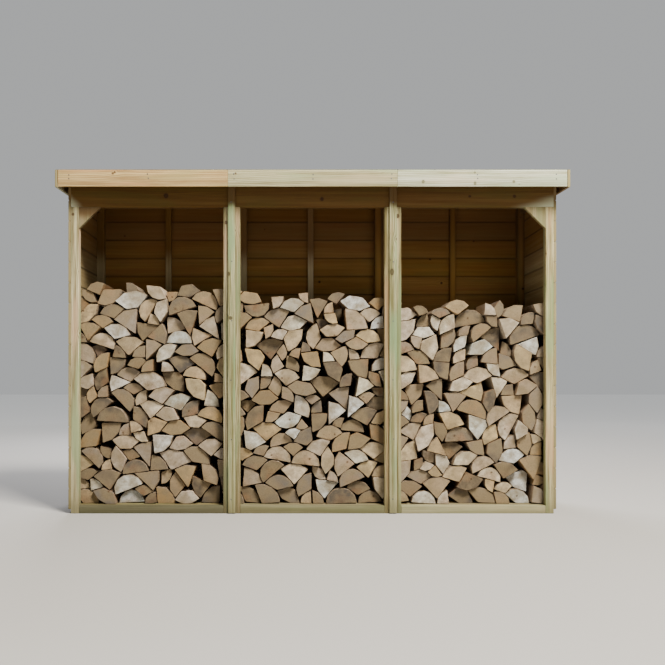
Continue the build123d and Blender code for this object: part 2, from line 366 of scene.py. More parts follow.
def make_piece(
    name: str,
    patches: Sequence[Patch],
    finish: Material,
    slot: str,
    nodes: Sequence[str] = (),
    sharp_degrees: float = 38.0,
    sheltered_shade_finish: Material | None = None,
) -> None:
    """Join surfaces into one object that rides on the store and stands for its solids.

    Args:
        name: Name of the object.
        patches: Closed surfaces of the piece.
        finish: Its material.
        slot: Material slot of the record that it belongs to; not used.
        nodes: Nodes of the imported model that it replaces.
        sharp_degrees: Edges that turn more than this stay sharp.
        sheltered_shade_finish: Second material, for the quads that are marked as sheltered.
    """
    starts = np.cumsum([0] + [len(p.points) for p in patches[:-1]])
    quads = np.concatenate([p.quads + s for p, s in zip(patches, starts)])
    triangles = np.concatenate([p.triangles + s for p, s in zip(patches, starts)])
    sizes = np.concatenate([np.full(len(quads), 4), np.full(len(triangles), 3)])
    corners = np.concatenate([quads.ravel(), triangles.ravel()])
    points, uv, mark = (
        np.concatenate([getattr(p, k).ravel() for k in kinds for p in patches]).astype(np.float32)
        for kinds in (("points",), ("quad_uv", "triangle_uv"), ("quad_mark", "triangle_mark"))
    )

    mesh = bpy.data.meshes.new(name)
    mesh.vertices.add(len(points) // 3)
    mesh.vertices.foreach_set("co", points)
    mesh.loops.add(len(corners))
    mesh.loops.foreach_set("vertex_index", corners.astype(np.int32))
    mesh.polygons.add(len(sizes))
    mesh.polygons.foreach_set("loop_start", (np.cumsum(sizes) - sizes).astype(np.int32))
    mesh.update(calc_edges=True)
    mesh.validate()
    mesh.uv_layers.new(name="grain").data.foreach_set("uv", uv)
    mesh.attributes.new("mark", "FLOAT_COLOR", "CORNER").data.foreach_set("color", mark)
    mesh.polygons.foreach_set("use_smooth", np.ones(len(sizes), dtype=bool))
    mesh.set_sharp_from_angle(angle=math.radians(sharp_degrees))
    mesh.materials.append(finish)
    if sheltered_shade_finish is not None:
        mesh.materials.append(sheltered_shade_finish)
        index = np.zeros(len(sizes), np.int32)
        index[: len(quads)] = np.concatenate([p.sheltered_shade for p in patches])
        mesh.polygons.foreach_set("material_index", index)

    piece = bpy.data.objects.new(name, mesh)
    bpy.context.scene.collection.objects.link(piece)
    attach(piece, "root")
    if nodes:
        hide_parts(*nodes)
    log.info("%s: %d faces", name, len(sizes))


def solids_of(node: str) -> list[Array]:
    """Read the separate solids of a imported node.

    Vertices that share a place are welded, and each solid is the set that its triangles join:
    every vertex takes the lowest label among its neighbours until none changes.

    Args:
        node: Name of the node.

    Returns:
        One array of vertices for each solid, from left to right.
    """
    weld_step = 1e-5
    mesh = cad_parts[node].data
    co = np.empty(len(mesh.vertices) * 3, np.float32)
    mesh.vertices.foreach_get("co", co)
    mesh.calc_loop_triangles()
    corners = np.empty(len(mesh.loop_triangles) * 3, np.int32)
    mesh.loop_triangles.foreach_get("vertices", corners)
    keys = np.round(co.reshape(-1, 3).astype(float) / weld_step).astype(np.int64)
    places, weld = np.unique(keys, axis=0, return_inverse=True)
    triangles = weld.ravel()[corners].reshape(-1, 3)
    label = np.arange(len(places))
    while True:
        joined = label.copy()
        np.minimum.at(joined, triangles.ravel(), np.repeat(label[triangles].min(axis=1), 3))
        joined = joined[joined]
        if np.array_equal(joined, label):
            break
        label = joined
    solids = [places[label == one] * weld_step for one in np.unique(label)]
    return sorted(solids, key=lambda solid: tuple(solid.mean(axis=0)))


def front_outline(solid: Array) -> tuple[Array, Array]:
    """Read the outline of a solid's front face.

    Args:
        solid: Vertices of the solid.

    Returns:
        The face's corners (x, z) in order of their angle round the middle, and the middle.
    """
    same_place = 1e-4
    front = solid[solid[:, 1] < solid[:, 1].min() + same_place][:, [0, 2]]
    middle = front.mean(axis=0)
    return front[np.argsort(np.arctan2(*(front - middle).T[::-1]))], middle


def sheared(points: Array, sign: float = 1.0) -> Array:
    """Raise points with their depth as the roof does: z + slope * y.

    Args:
        points: The points.
        sign: 1 to raise them, or -1 to take the slope out.

    Returns:
        The moved points.
    """
    moved = points.copy()
    moved[:, 2] += sign * ROOF_SLOPE * moved[:, 1]
    return moved


def extents(points: Array, sloped: bool = False) -> tuple[Array, Array]:
    """Find the box round some points.

    Args:
        points: The points.
        sloped: Whether the roof's slope is taken out of them first.

    Returns:
        The lowest and the highest corner.
    """
    level = sheared(points, -1.0) if sloped else points
    return level.min(axis=0), level.max(axis=0)


def eased_rectangle(width: float, thickness: float, ease: float) -> tuple[Array, Array]:
    """Section of a timber with eased edges.

    Each corner is a quarter round of three points, and each wide face has two points between.

    Args:
        width: Size along the first axis of the section.
        thickness: Size along the second.
        ease: Radius of the edges.

    Returns:
        Points in order round the section, centred on zero, and a mark that is 1 on the edges.
    """
    half = np.array([width, thickness]) / 2
    points: list[Array] = []
    edge: list[Array] = []
    corners = ((1, 1, 0), (-1, 1, 90), (-1, -1, 180), (1, -1, 270))
    for index, (sx, sz, start) in enumerate(corners):
        turn = np.radians([0, 45, 90]) + math.radians(start)
        arc = (half - ease) * (sx, sz) + ease * np.stack([np.cos(turn), np.sin(turn)], axis=1)
        points.append(arc)
        edge.append(np.array([0.5, 1.0, 0.5]))
        following = corners[(index + 1) % 4]
        if following[0] != sx:
            end = (half - ease) * following[:2] + ease * np.array([0.0, sz])
            share = np.linspace(0, 1, 4)[1:-1, None]
            points.append(arc[-1] * (1 - share) + end * share)
            edge.append(np.zeros(2))
    return np.concatenate(points), np.concatenate(edge)


def swept(
    section: Array,
    edge: Array,
    start: float,
    length: float,
    run: Run,
    centre: Sequence[float],
    rng: np.random.Generator,
    ease: float,
    pitch: float = 0.12,
) -> Patch:
    """Carry a section along a straight timber and close its ends.

    The surface is section(v) at station u. The end stations are drawn in by the ease, so that the
    sawn ends have eased edges too.

    Args:
        section: Points round the section, in the plane of its width and thickness.
        edge: Mark of each point, 1 on an edge.
        start: Where the timber starts along its length.
        length: Its length.
        run: Direction of its length.
        centre: Middle of the section along the other two axes, in the order that run gives.
        rng: Source of the piece's own tone, seed and grain.
        ease: How far the ends' edges are eased.
        pitch: Distance between stations.

    Returns:
        The closed surface.
    """
    count = max(2, int(round(length / pitch)) + 1)
    stations = np.concatenate([[0.0], np.linspace(ease, length - ease, count), [length]])
    rows, ring = len(stations), len(section)
    drawn_in = section * (1 - ease / np.abs(section).max(axis=0))
    grid = np.empty((rows, ring, 3))
    grid[:, :, 0] = start + stations[:, None]
    grid[:, :, 1:] = section[None]
    grid[[0, -1], :, 1:] = drawn_in
    grid[:, :, 1:] += centre
    ends = np.array([[start, *centre], [start + length, *centre]])
    points = np.empty((rows * ring + 2, 3))
    points[:, run.value] = np.concatenate([grid.reshape(-1, 3), ends])

    sides = np.linalg.norm(np.roll(section, -1, axis=0) - section, axis=1)
    offset = rng.uniform(0, 40, size=2)
    own = np.array([0.0, 0.0, rng.uniform(), rng.uniform()])
    around = np.concatenate([[0.0], np.cumsum(sides)])
    quads, quad_uv, quad_mark = tube(stations + offset[0], around + offset[1], edge, own)

    hub = rows * ring
    near, far = fan(ring, 0, hub)[:, [1, 0, 2]], fan(ring, hub - ring, hub + 1)
    flat = np.concatenate([drawn_in, [[0.0, 0.0]]]) + offset
    triangle_uv = flat[np.concatenate([fan(ring, 0, ring)[:, [1, 0, 2]], fan(ring, 0, ring)])]
    triangle_mark = np.tile(own, (2 * ring, 3, 1))
    triangle_mark[:, :, 0] = 1.0
    triangles = np.concatenate([near, far])
    return Patch(points, quads, quad_uv, quad_mark, triangles, triangle_uv, triangle_mark).outward()


def timber(
    low: Array,
    high: Array,
    run: Run,
    rng: np.random.Generator,
    ease: float,
    sloped: bool = False,
) -> Patch:
    """Square-sawn timber between two corners, with eased edges.

    Args:
        low: Lowest corner.
        high: Highest corner.
        run: Direction of its length.
        rng: Source of its own tone and grain.
        ease: Radius of its edges.
        sloped: Whether the corners are level and the timber then follows the roof.

    Returns:
        The closed surface.
    """
    along, *others = run.value
    size, middle = high - low, (high + low) / 2
    section, edge = eased_rectangle(*size[others], ease)
    patch = swept(section, edge, low[along], size[along], run, middle[others], rng, ease)
    if sloped:
        patch.points = sheared(patch.points)
    return patch


def timbers_on(
    node: str, run: Run, rng: np.random.Generator, ease: float = 2.0 * MM, sloped: bool = False
) -> list[Patch]:
    """Square-sawn timbers on each solid of a node.

    Args:
        node: Node whose solids are plain timbers.
        run: Direction of their length.
        rng: Source of their tones and grain.
        ease: Radius of their edges.
        sloped: Whether they follow the roof.

    Returns:
        One surface for each solid.
    """
    boxes = [extents(solid, sloped) for solid in solids_of(node)]
    return [timber(low, high, run, rng, ease, sloped) for low, high in boxes]


# Finishes


@dataclass(frozen=True)
class TreatedSoftwood:
    """Pressure-treated sawn spruce: matt and dry, with a green cast from the preservative.

    Latewood shows as thin darker lines that bend round the knots, the fibres give fine streaks,
    and the saw leaves faint marks across the grain. Lines are drawn a little wider than the real
    2 to 4 mm, so that they show at the photograph's scale.

    A few larger knots run through the front timbers from face to face; each is given by its x
    and z, and by half its width and height in millimetres. Above a given height, where one is
    set, the wood turns dark brown: painted shade under the eaves, in the brown that the
    preservative keeps where the weather does not reach. A few corners are painted in pale wood
    as light falling on them; each is given by its x and z and by the slope of the line that the
    painted light stops at.
    """

    light: str
    dark: str
    stain: str = "#8E9667"
    blush: str = "#C69E78"
    knot: str = "#4E3520"
    # Dark brown of the painted shade under the eaves.
    kept: str = "#5B4121"
    # Pale wood of the painted light on a few corners.
    washed_light: str = "#CBCEAE"
    washed_dark: str = "#A9AC86"
    earth: str = "#5E5A3A"
    rain: str = "#787050"
    stain_cover: float = 0.6
    blush_cover: float = 0.5
    contrast: float = 0.9
    ring_mm: float = 8.0
    knots_per_m: float = 2.4
    largest_knot_mm: float = 12.0
    through_knots: tuple[tuple[float, float, float, float], ...] = ()
    # Height, fade and cover of the painted shade under the eaves; with no height there is none.
    kept_above: float = 0.0
    kept_fade: float = 0.045
    kept_cover: float = 0.94
    # Corners that take painted light: x, z and the slope of its edge.
    washed: tuple[Point, ...] = ()
    saw_marks: float = 0.35
    roughness: float = 0.78
    roughness_spread: float = 0.07
    tone_spread: float = 0.24
    warmth_spread: float = 0.2
    edge_tone: float = 0.05

    def material(self, name: str) -> Material:
        """Build the node material.

        Args:
            name: Name of the material.

        Returns:
            A material that reads the grain UV and the marks of the piece.
        """
        nodes = Nodes(bpy.data.materials.new(name))
        add, coat, drawn_out = nodes.add, nodes.coat, nodes.drawn_out
        uv, end, edge, tone, seed = nodes.grain_and_marks()

        # Knots: one cell of a pattern for each, 1 / knots_per_m long and a ninth of a metre wide.
        rows_per_m = 9.0
        cell_uv = add("VectorMath MULTIPLY", (uv, (self.knots_per_m, rows_per_m, 1.0)))
        cell = add("TexVoronoi 2D", {"Vector": cell_uv, "Scale": 1.0}).node.outputs
        away = add("VectorMath SUBTRACT", (cell["Position"], cell_uv))
        away = add("VectorMath MULTIPLY", (away, (1 / self.knots_per_m, 1 / rows_per_m, 0.0)))
        reach = add("VectorMath LENGTH", (away,), "Value")
        chance = add("SeparateColor", (cell["Color"],))
        radius = add("MapRange", (chance, 0.35, 1.0, -2.0 * MM, self.largest_knot_mm * MM))
        knot = add("Math SUBTRACT", (radius, reach))
        knot = add("MapRange SMOOTHSTEP", (knot, -1.2 * MM, 1.6 * MM, 0.0, 1.0))

        # Grain: distance across the board, drawn towards each knot's centre and slowly waved.
        near = add("Math DIVIDE", (reach, 17.0 * MM))
        near = add("Math MULTIPLY_ADD", (near, near, 1.0))
        has = add("MapRange", (radius, 0.0, 6.0 * MM, 0.0, 1.0))
        pull = add("Math DIVIDE", (has, near))
        across = add("SeparateXYZ", (uv,), "Y")
        toward = add("SeparateXYZ", (away,), "Y")
        flow = add("Math MULTIPLY_ADD", (toward, pull, across))
        slow = drawn_out(uv, (0.75, 6.0), 2.0)
        flow = add("Math MULTIPLY_ADD", (slow, 0.055, flow))
        part = add("Math MULTIPLY", (flow, 1000.0 / self.ring_mm))
        part = add("Math FRACT", (part,))
        late = add("Math POWER", (part, 3.0))
        soft = add("MapRange SMOOTHSTEP", (part, 0.93, 1.0, 1.0, 0.0))
        late = add("Math MULTIPLY", (late, soft))
        fibre = drawn_out(uv, (9.0, 330.0), 3.0)
        streak = drawn_out(uv, (1.6, 52.0), 2.0)
        depth = add("Math MULTIPLY", (late, 0.55))
        depth = add("Math MULTIPLY_ADD", (streak, 1.1, depth))
        depth = add("Math MULTIPLY_ADD", (fibre, 0.55, depth))
        depth = add("MapRange", (depth, 0.66, 1.16, 0.0, self.contrast))
        colour = add("Mix RGBA", {0: depth, 6: self.light, 7: self.dark}, 2)

        # Preservative lies greener in some stretches, and the wood shows pinker in others.
        patch = drawn_out(uv, (1.7, 14.0), 3.0)
        colour = coat(colour, patch, (0.5, 0.68, 0.0, self.stain_cover), self.stain)
        colour = coat(colour, patch, (0.46, 0.3, 0.0, self.blush_cover), self.blush)

        # The knots' own rings are 3.3 mm apart.
        ring = add("Math MULTIPLY", (reach, 1900.0))
        ring = add("Math SINE", (ring,))
        ring = add("MapRange", (ring, -1.0, 1.0, 0.72, 1.0))
        core = add("Math MULTIPLY", (knot, ring))
        colour = add("Mix RGBA", {0: core, 6: colour, 7: self.knot}, 2)

        # Through knots: an oval with a dark rim, a lighter heart and a soft halo of stained fibres.
        place = add("TexCoord", out="Object")
        rough = add("TexNoise", {"Vector": place, "Scale": 70.0, "Detail": 2.0})
        for x, z, wide, high in self.through_knots:
            off = add("VectorMath SUBTRACT", (place, (x, 0.0, z)))
            off = add("VectorMath MULTIPLY", (off, (1 / (wide * MM), 0.0, 1 / (high * MM))))
            off = add("VectorMath LENGTH", (off,), "Value")
            off = add("Math MULTIPLY_ADD", (rough, 0.5, off))
            colour = coat(colour, off, (2.1, 1.1, 0.0, 0.45), self.dark)
            heart = add("MapRange SMOOTHSTEP", (off, 1.0, 0.35, 0.92, 0.66))
            inside = add("MapRange SMOOTHSTEP", (off, 1.35, 1.15, 0.0, 1.0))
            heart = add("Math MULTIPLY", (heart, inside))
            colour = add("Mix RGBA", {0: heart, 6: colour, 7: self.knot}, 2)

        # End grain drinks more and is darker.
        cut = drawn_out(uv, (260.0, 900.0), 2.0)
        cut = add("MapRange", (cut, 0.3, 0.7, 0.5, 0.8))
        cut = add("Math MULTIPLY", (cut, end))
        colour = add("Mix RGBA", {0: cut, 6: colour, 7: self.dark}, 2)

        # Earth and damp from the ground darken the lowest few centimetres, rain splashes higher,
        # and painted shade under the eaves and painted light on a few corners come on top.
        height = add("SeparateXYZ", (place,), "Z")
        damp = add("TexNoise", {"Vector": place, "Scale": 7.0, "Detail": 2.0})
        damp = add("Math MULTIPLY_ADD", (damp, -0.1, height))
        colour = coat(colour, damp, (-0.05, 0.06, 0.6, 0.0), self.earth)
        splash = add("Math MULTIPLY_ADD", (streak, -0.16, height))
        colour = coat(colour, splash, (0.0, 0.34, 0.34, 0.0), self.rain)
        # Painted shade under the eaves, in the preservative's brown.
        if self.kept_above:
            brown = add("Math MULTIPLY_ADD", (streak, 0.02, height))
            fade = (self.kept_above, self.kept_above + self.kept_fade, 0.0, self.kept_cover)
            colour = coat(colour, brown, fade, self.kept)
        # Painted light: pale wood on each listed corner, up to a sloping line.
        for x, z, slope in self.washed:
            corner = add("VectorMath SUBTRACT", (place, (x, 0.0, z)))
            corner = add("VectorMath DOT_PRODUCT", (corner, (slope, 0.0, -1.0)), "Value")
            corner = add("Math MULTIPLY_ADD", (streak, 0.03, corner))
            pale = add("Mix RGBA", {0: depth, 6: self.washed_light, 7: self.washed_dark}, 2)
            colour = coat(colour, corner, (-0.07, 0.022, 0.0, 0.98), pale)

        tones, warm = self.tone_spread / 2, self.warmth_spread / 2
        value = add("MapRange", (tone, 0.0, 1.0, 1.0 - tones, 1.0 + tones))
        value = add("Math MULTIPLY_ADD", (edge, self.edge_tone, value))
        warmth = add("MapRange", (seed, 0.0, 1.0, 1.0 - warm, 1.0 + warm))
        colour = add("HueSaturation", {"Saturation": warmth, "Value": value, "Color": colour})

        dry, spread = self.roughness, self.roughness_spread
        uneven = add("MapRange", (streak, 0.3, 0.7, dry - spread, dry + spread))
        saw = drawn_out(uv, (420.0, 14.0), 1.0)
        relief = add("Math MULTIPLY_ADD", (saw, self.saw_marks, fibre))
        relief = add("Math MULTIPLY_ADD", (late, 0.5, relief))
        looks = {"Base Color": colour, "Roughness": uneven, "IOR": 1.45, "Specular IOR Level": 0.3}
        return nodes.surface(looks, {"Strength": 0.45, "Distance": 0.6 * MM, "Height": relief})


@dataclass(frozen=True)
class SplitFirewood:
    """Split beech, birch and ash, sawn to length and left raw.

    The sawn ends are pale and matt with fine growth rings round the heart, a few drying cracks
    that run out from it and thin grey-brown bark round the rim. The split faces are fibrous and
    streaked, a little browner than the ends.
    """

    ends: tuple[tuple[float, str], ...] = (
        (0.0, "#4B4237"),
        (0.13, "#6C5E49"),
        (0.3, "#917A5A"),
        (0.56, "#B69C76"),
        (0.8, "#D1BB93"),
        (0.9, "#D2D0BC"),
        (1.0, "#CCD6D2"),
    )
    heartwood: str = "#A0754C"
    blot: str = "#7C6D55"
    shade: str = "#857557"
    bud: str = "#4A3623"
    crack: str = "#3A281A"
    split_dark: str = "#8E6B48"
    bark: str = "#6E5C46"
    bark_light: str = "#978976"
    ring_mm: float = 3.6

    def material(self, name: str) -> Material:
        """Build the node material.

        Args:
            name: Name of the material.

        Returns:
            A material that reads the grain UV and the marks of each log.
        """
        nodes = Nodes(bpy.data.materials.new(name))
        add, coat, drawn_out = nodes.add, nodes.coat, nodes.drawn_out
        uv, end, bark, tone, seed = nodes.grain_and_marks()

        # Multiples of the seed give each log its own layer of every noise, its species and more.
        layer = add("Math MULTIPLY", (seed, 31.0))
        lift = add("CombineXYZ", {2: layer})
        place = add("VectorMath ADD", (uv, lift))

        wood = add("ValToRGB", (tone,))
        stops = wood.node.color_ramp.elements
        for index, (share, code) in enumerate(self.ends):
            stop = stops[index] if index < 2 else stops.new(share)
            stop.position, stop.color = share, linear(code)
        species = add("Math MULTIPLY", (seed, 7.3))
        species = add("Math FRACT", (species,))
        species = add("MapRange", (species, 0.0, 1.0, 0.5, 1.14))
        wood = add("HueSaturation", {"Hue": 0.503, "Saturation": species, "Color": wood})

        # Sawn end: rings round the heart, bent a little by slow noise.
        far = add("VectorMath LENGTH", (uv,), "Value")
        sway = add("TexNoise", {"Vector": place, "Scale": 22.0, "Detail": 2.0})
        ring = add("Math MULTIPLY_ADD", (sway, 0.012, far))
        ring = add("Math MULTIPLY", (ring, TURN * 1000 / self.ring_mm))
        ring = add("Math SINE", (ring,))
        heart = add("Math MULTIPLY_ADD", (sway, 0.05, far))
        heart = add("MapRange SMOOTHSTEP", (heart, 0.085, 0.055, 0.0, 0.42))
        heart = add("Math MULTIPLY", (heart, seed))
        sawn = add("Mix RGBA", {0: heart, 6: wood, 7: self.heartwood}, 2)
        mould = {"Vector": place, "Scale": 26.0, "Detail": 4.0, "Roughness": 0.62}
        sawn = coat(sawn, add("TexNoise", mould), (0.38, 0.66, 0.0, 0.75), self.blot, smooth=False)
        slow = add("TexNoise", {"Vector": place, "Scale": 9.0, "Detail": 1.0})
        sawn = coat(sawn, slow, (0.4, 0.62, 0.0, 0.6), self.shade)

        # A branch leaves a small dark knot in one end in three, 42 mm from the heart.
        around = add("Math MULTIPLY", (seed, 50.0))
        knot = add("CombineXYZ", (add("Math SINE", (around,)), add("Math COSINE", (around,))))
        knot = add("VectorMath SCALE", {0: knot, "Scale": -0.042})
        knot = add("VectorMath ADD", (uv, knot))
        knot = add("VectorMath LENGTH", (knot,), "Value")
        ragged = add("TexNoise", {"Vector": place, "Scale": 130.0, "Detail": 2.0})
        knot = add("Math MULTIPLY_ADD", (ragged, 0.012, knot))
        knot = add("MapRange SMOOTHSTEP", (knot, 0.0145, 0.0085, 0.0, 0.8))
        knot = add("Math MULTIPLY", (knot, add("Math GREATER_THAN", (seed, 0.67))))
        sawn = add("Mix RGBA", {0: knot, 6: sawn, 7: self.bud}, 2)

        # The saw's scratches run one way across each end, another way on each log.
        scratches = add("VectorRotate Z_AXIS", {0: place, "Angle": layer})
        kerf = drawn_out(scratches, (520.0, 26.0), 1.0, flat=False)
        grain = {"Vector": place, "Scale": 150.0, "Detail": 3.0, "Roughness": 0.7}
        sheen = add("Math MULTIPLY_ADD", (ring, 0.08, 0.92))
        sheen = add("Math MULTIPLY_ADD", (kerf, 0.36, sheen))
        sheen = add("Math MULTIPLY_ADD", (add("TexNoise", grain), 0.6, sheen))
        sheen = add("Math SUBTRACT", (sheen, 0.43))

        # Drying cracks: narrow bands of noise in the angle round the heart, broken outwards.
        flat = add("SeparateXYZ", (uv,)).node.outputs
        angle = add("Math ARCTAN2", (flat[0], flat[1]))
        angle = add("Math MULTIPLY", (angle, 2.6))
        radius = add("Math MULTIPLY", (far, 9.0))
        polar = add("CombineXYZ", (angle, radius, layer))
        crack = add("TexNoise", {"Vector": polar, "Scale": 2.2, "Detail": 2.0})
        crack = add("Math SUBTRACT", (crack, 0.5))
        crack = add("Math ABSOLUTE", (crack,))
        crack = add("Math MULTIPLY", (crack, far))
        crack = add("MapRange SMOOTHSTEP", (crack, 0.0, 0.5 * MM, 0.7, 0.0))
        crack = add("Math MULTIPLY", (crack, seed))
        sawn = add("Mix RGBA", {0: crack, 6: sawn, 7: self.crack}, 2)

        # Split face: fibres along the log. Bark: ridged along it and flaking to a lighter grey.
        fibre = drawn_out(place, (14.0, 260.0), 4.0, 0.6, flat=False)
        stripes = drawn_out(place, (3.0, 40.0), 2.0, flat=False)
        torn = add("Math ADD", (fibre, stripes))
        torn = coat(wood, torn, (0.75, 1.3, 0.05, 0.65), self.split_dark, smooth=False)
        ridge = drawn_out(place, (30.0, 95.0), 5.0, 0.65, flat=False)
        rind = coat(self.bark, ridge, (0.4, 0.65, 0.0, 1.0), self.bark_light, smooth=False)
        barked = add("MapRange", (bark, 0.35, 0.65, 0.0, 1.0))
        side = add("Mix RGBA", {0: barked, 6: torn, 7: rind}, 2)
        rim = add("Math MULTIPLY_ADD", (ridge, 0.5, bark))
        face = coat(sawn, rim, (0.8, 0.92, 0.0, 0.9), self.bark, smooth=False)
        colour = add("Mix RGBA", {0: end, 6: side, 7: face}, 2)
        value = add("Mix FLOAT", {0: end, 2: 1.0, 3: sheen})
        colour = add("HueSaturation", {"Value": value, "Color": colour})

        rough_end = add("Math MULTIPLY_ADD", (kerf, 0.5, crack))
        rough_end = add("Math MULTIPLY_ADD", (ring, 0.06, rough_end))
        rough_side = add("Mix FLOAT", {0: barked, 2: fibre, 3: ridge})
        rough_side = add("Math MULTIPLY", (rough_side, 2.4))
        height = add("Mix FLOAT", {0: end, 2: rough_side, 3: rough_end})
        looks = {"Base Color": colour, "Roughness": 0.82, "IOR": 1.45, "Specular IOR Level": 0.25}
        return nodes.surface(looks, {"Strength": 0.6, "Distance": 1.2 * MM, "Height": height})


@dataclass(frozen=True)
class MineralFelt:
    """Mineral-surfaced bitumen felt: crushed slate granules pressed into the sheet, dark and matt.

    The granules are about 1 mm and are drawn at 2.5 mm, so that they show from a few metres away.
    A thin line of bare bitumen shows along each lap, and rain has left paler streaks down the
    slope.
    """

    base: str = "#2F3733"
    light: str = "#59625A"
    bitumen: str = "#161817"
    washed: str = "#6C7269"
    laps: tuple[float, ...] = (-0.4695, 0.4695)
    granule_mm: float = 2.5

    def material(self, name: str) -> Material:
        """Build the node material.

        Args:
            name: Name of the material.

        Returns:
            A material that reads Object coordinates.
        """
        nodes = Nodes(bpy.data.materials.new(name))
        add, coat = nodes.add, nodes.coat
        place = add("TexCoord", out="Object")
        grit = add("TexVoronoi", {"Vector": place, "Scale": 1000.0 / self.granule_mm}).node
        speck = add("SeparateColor", (grit.outputs["Color"],))
        worn = add("TexNoise", {"Vector": place, "Scale": 5.0, "Detail": 4.0})
        share = add("Math MULTIPLY_ADD", (worn, 0.7, speck))
        colour = coat(self.base, share, (0.5, 1.35, 0.0, 1.0), self.light, smooth=False)
        washed = nodes.drawn_out(place, (14.0, 1.1), 3.0, flat=False)
        colour = coat(colour, washed, (0.48, 0.75, 0.0, 0.3), self.washed)
        across = add("SeparateXYZ", (place,), "X")
        across = add("Math MULTIPLY_ADD", (worn, 6.0 * MM, across))
        for lap in self.laps:
            line = add("Math SUBTRACT", (across, lap))
            line = add("Math ABSOLUTE", (line,))
            colour = coat(colour, line, (8.0 * MM, 4.0 * MM, 0.0, 0.85), self.bitumen)
        looks = {"Base Color": colour, "Roughness": 0.9, "Specular IOR Level": 0.3}
        return nodes.surface(looks, {"Strength": 0.5, "Distance": 0.8 * MM, "Height": speck})


@dataclass(frozen=True)
class GalvanisedSteel:
    """Hot-dip galvanised nail heads: dull grey metal, mottled where the zinc has weathered."""

    zinc: str = "#74767A"
    dull: str = "#4A4A46"
    mottles_per_m: float = 260.0

    def material(self, name: str) -> Material:
        """Build the node material.

        Args:
            name: Name of the material.

        Returns:
            A material that reads Object coordinates.
        """
        nodes = Nodes(bpy.data.materials.new(name))
        place = nodes.add("TexCoord", out="Object")
        spots = {"Vector": place, "Scale": self.mottles_per_m, "Detail": 3.0}
        mottle = nodes.add("TexNoise", spots)
        colour = nodes.coat(self.zinc, mottle, (0.35, 0.65, 0.0, 1.0), self.dull, smooth=False)
        rough = nodes.add("MapRange", (mottle, 0.3, 0.7, 0.5, 0.75))
        return nodes.surface({"Base Color": colour, "Metallic": 0.7, "Roughness": rough})


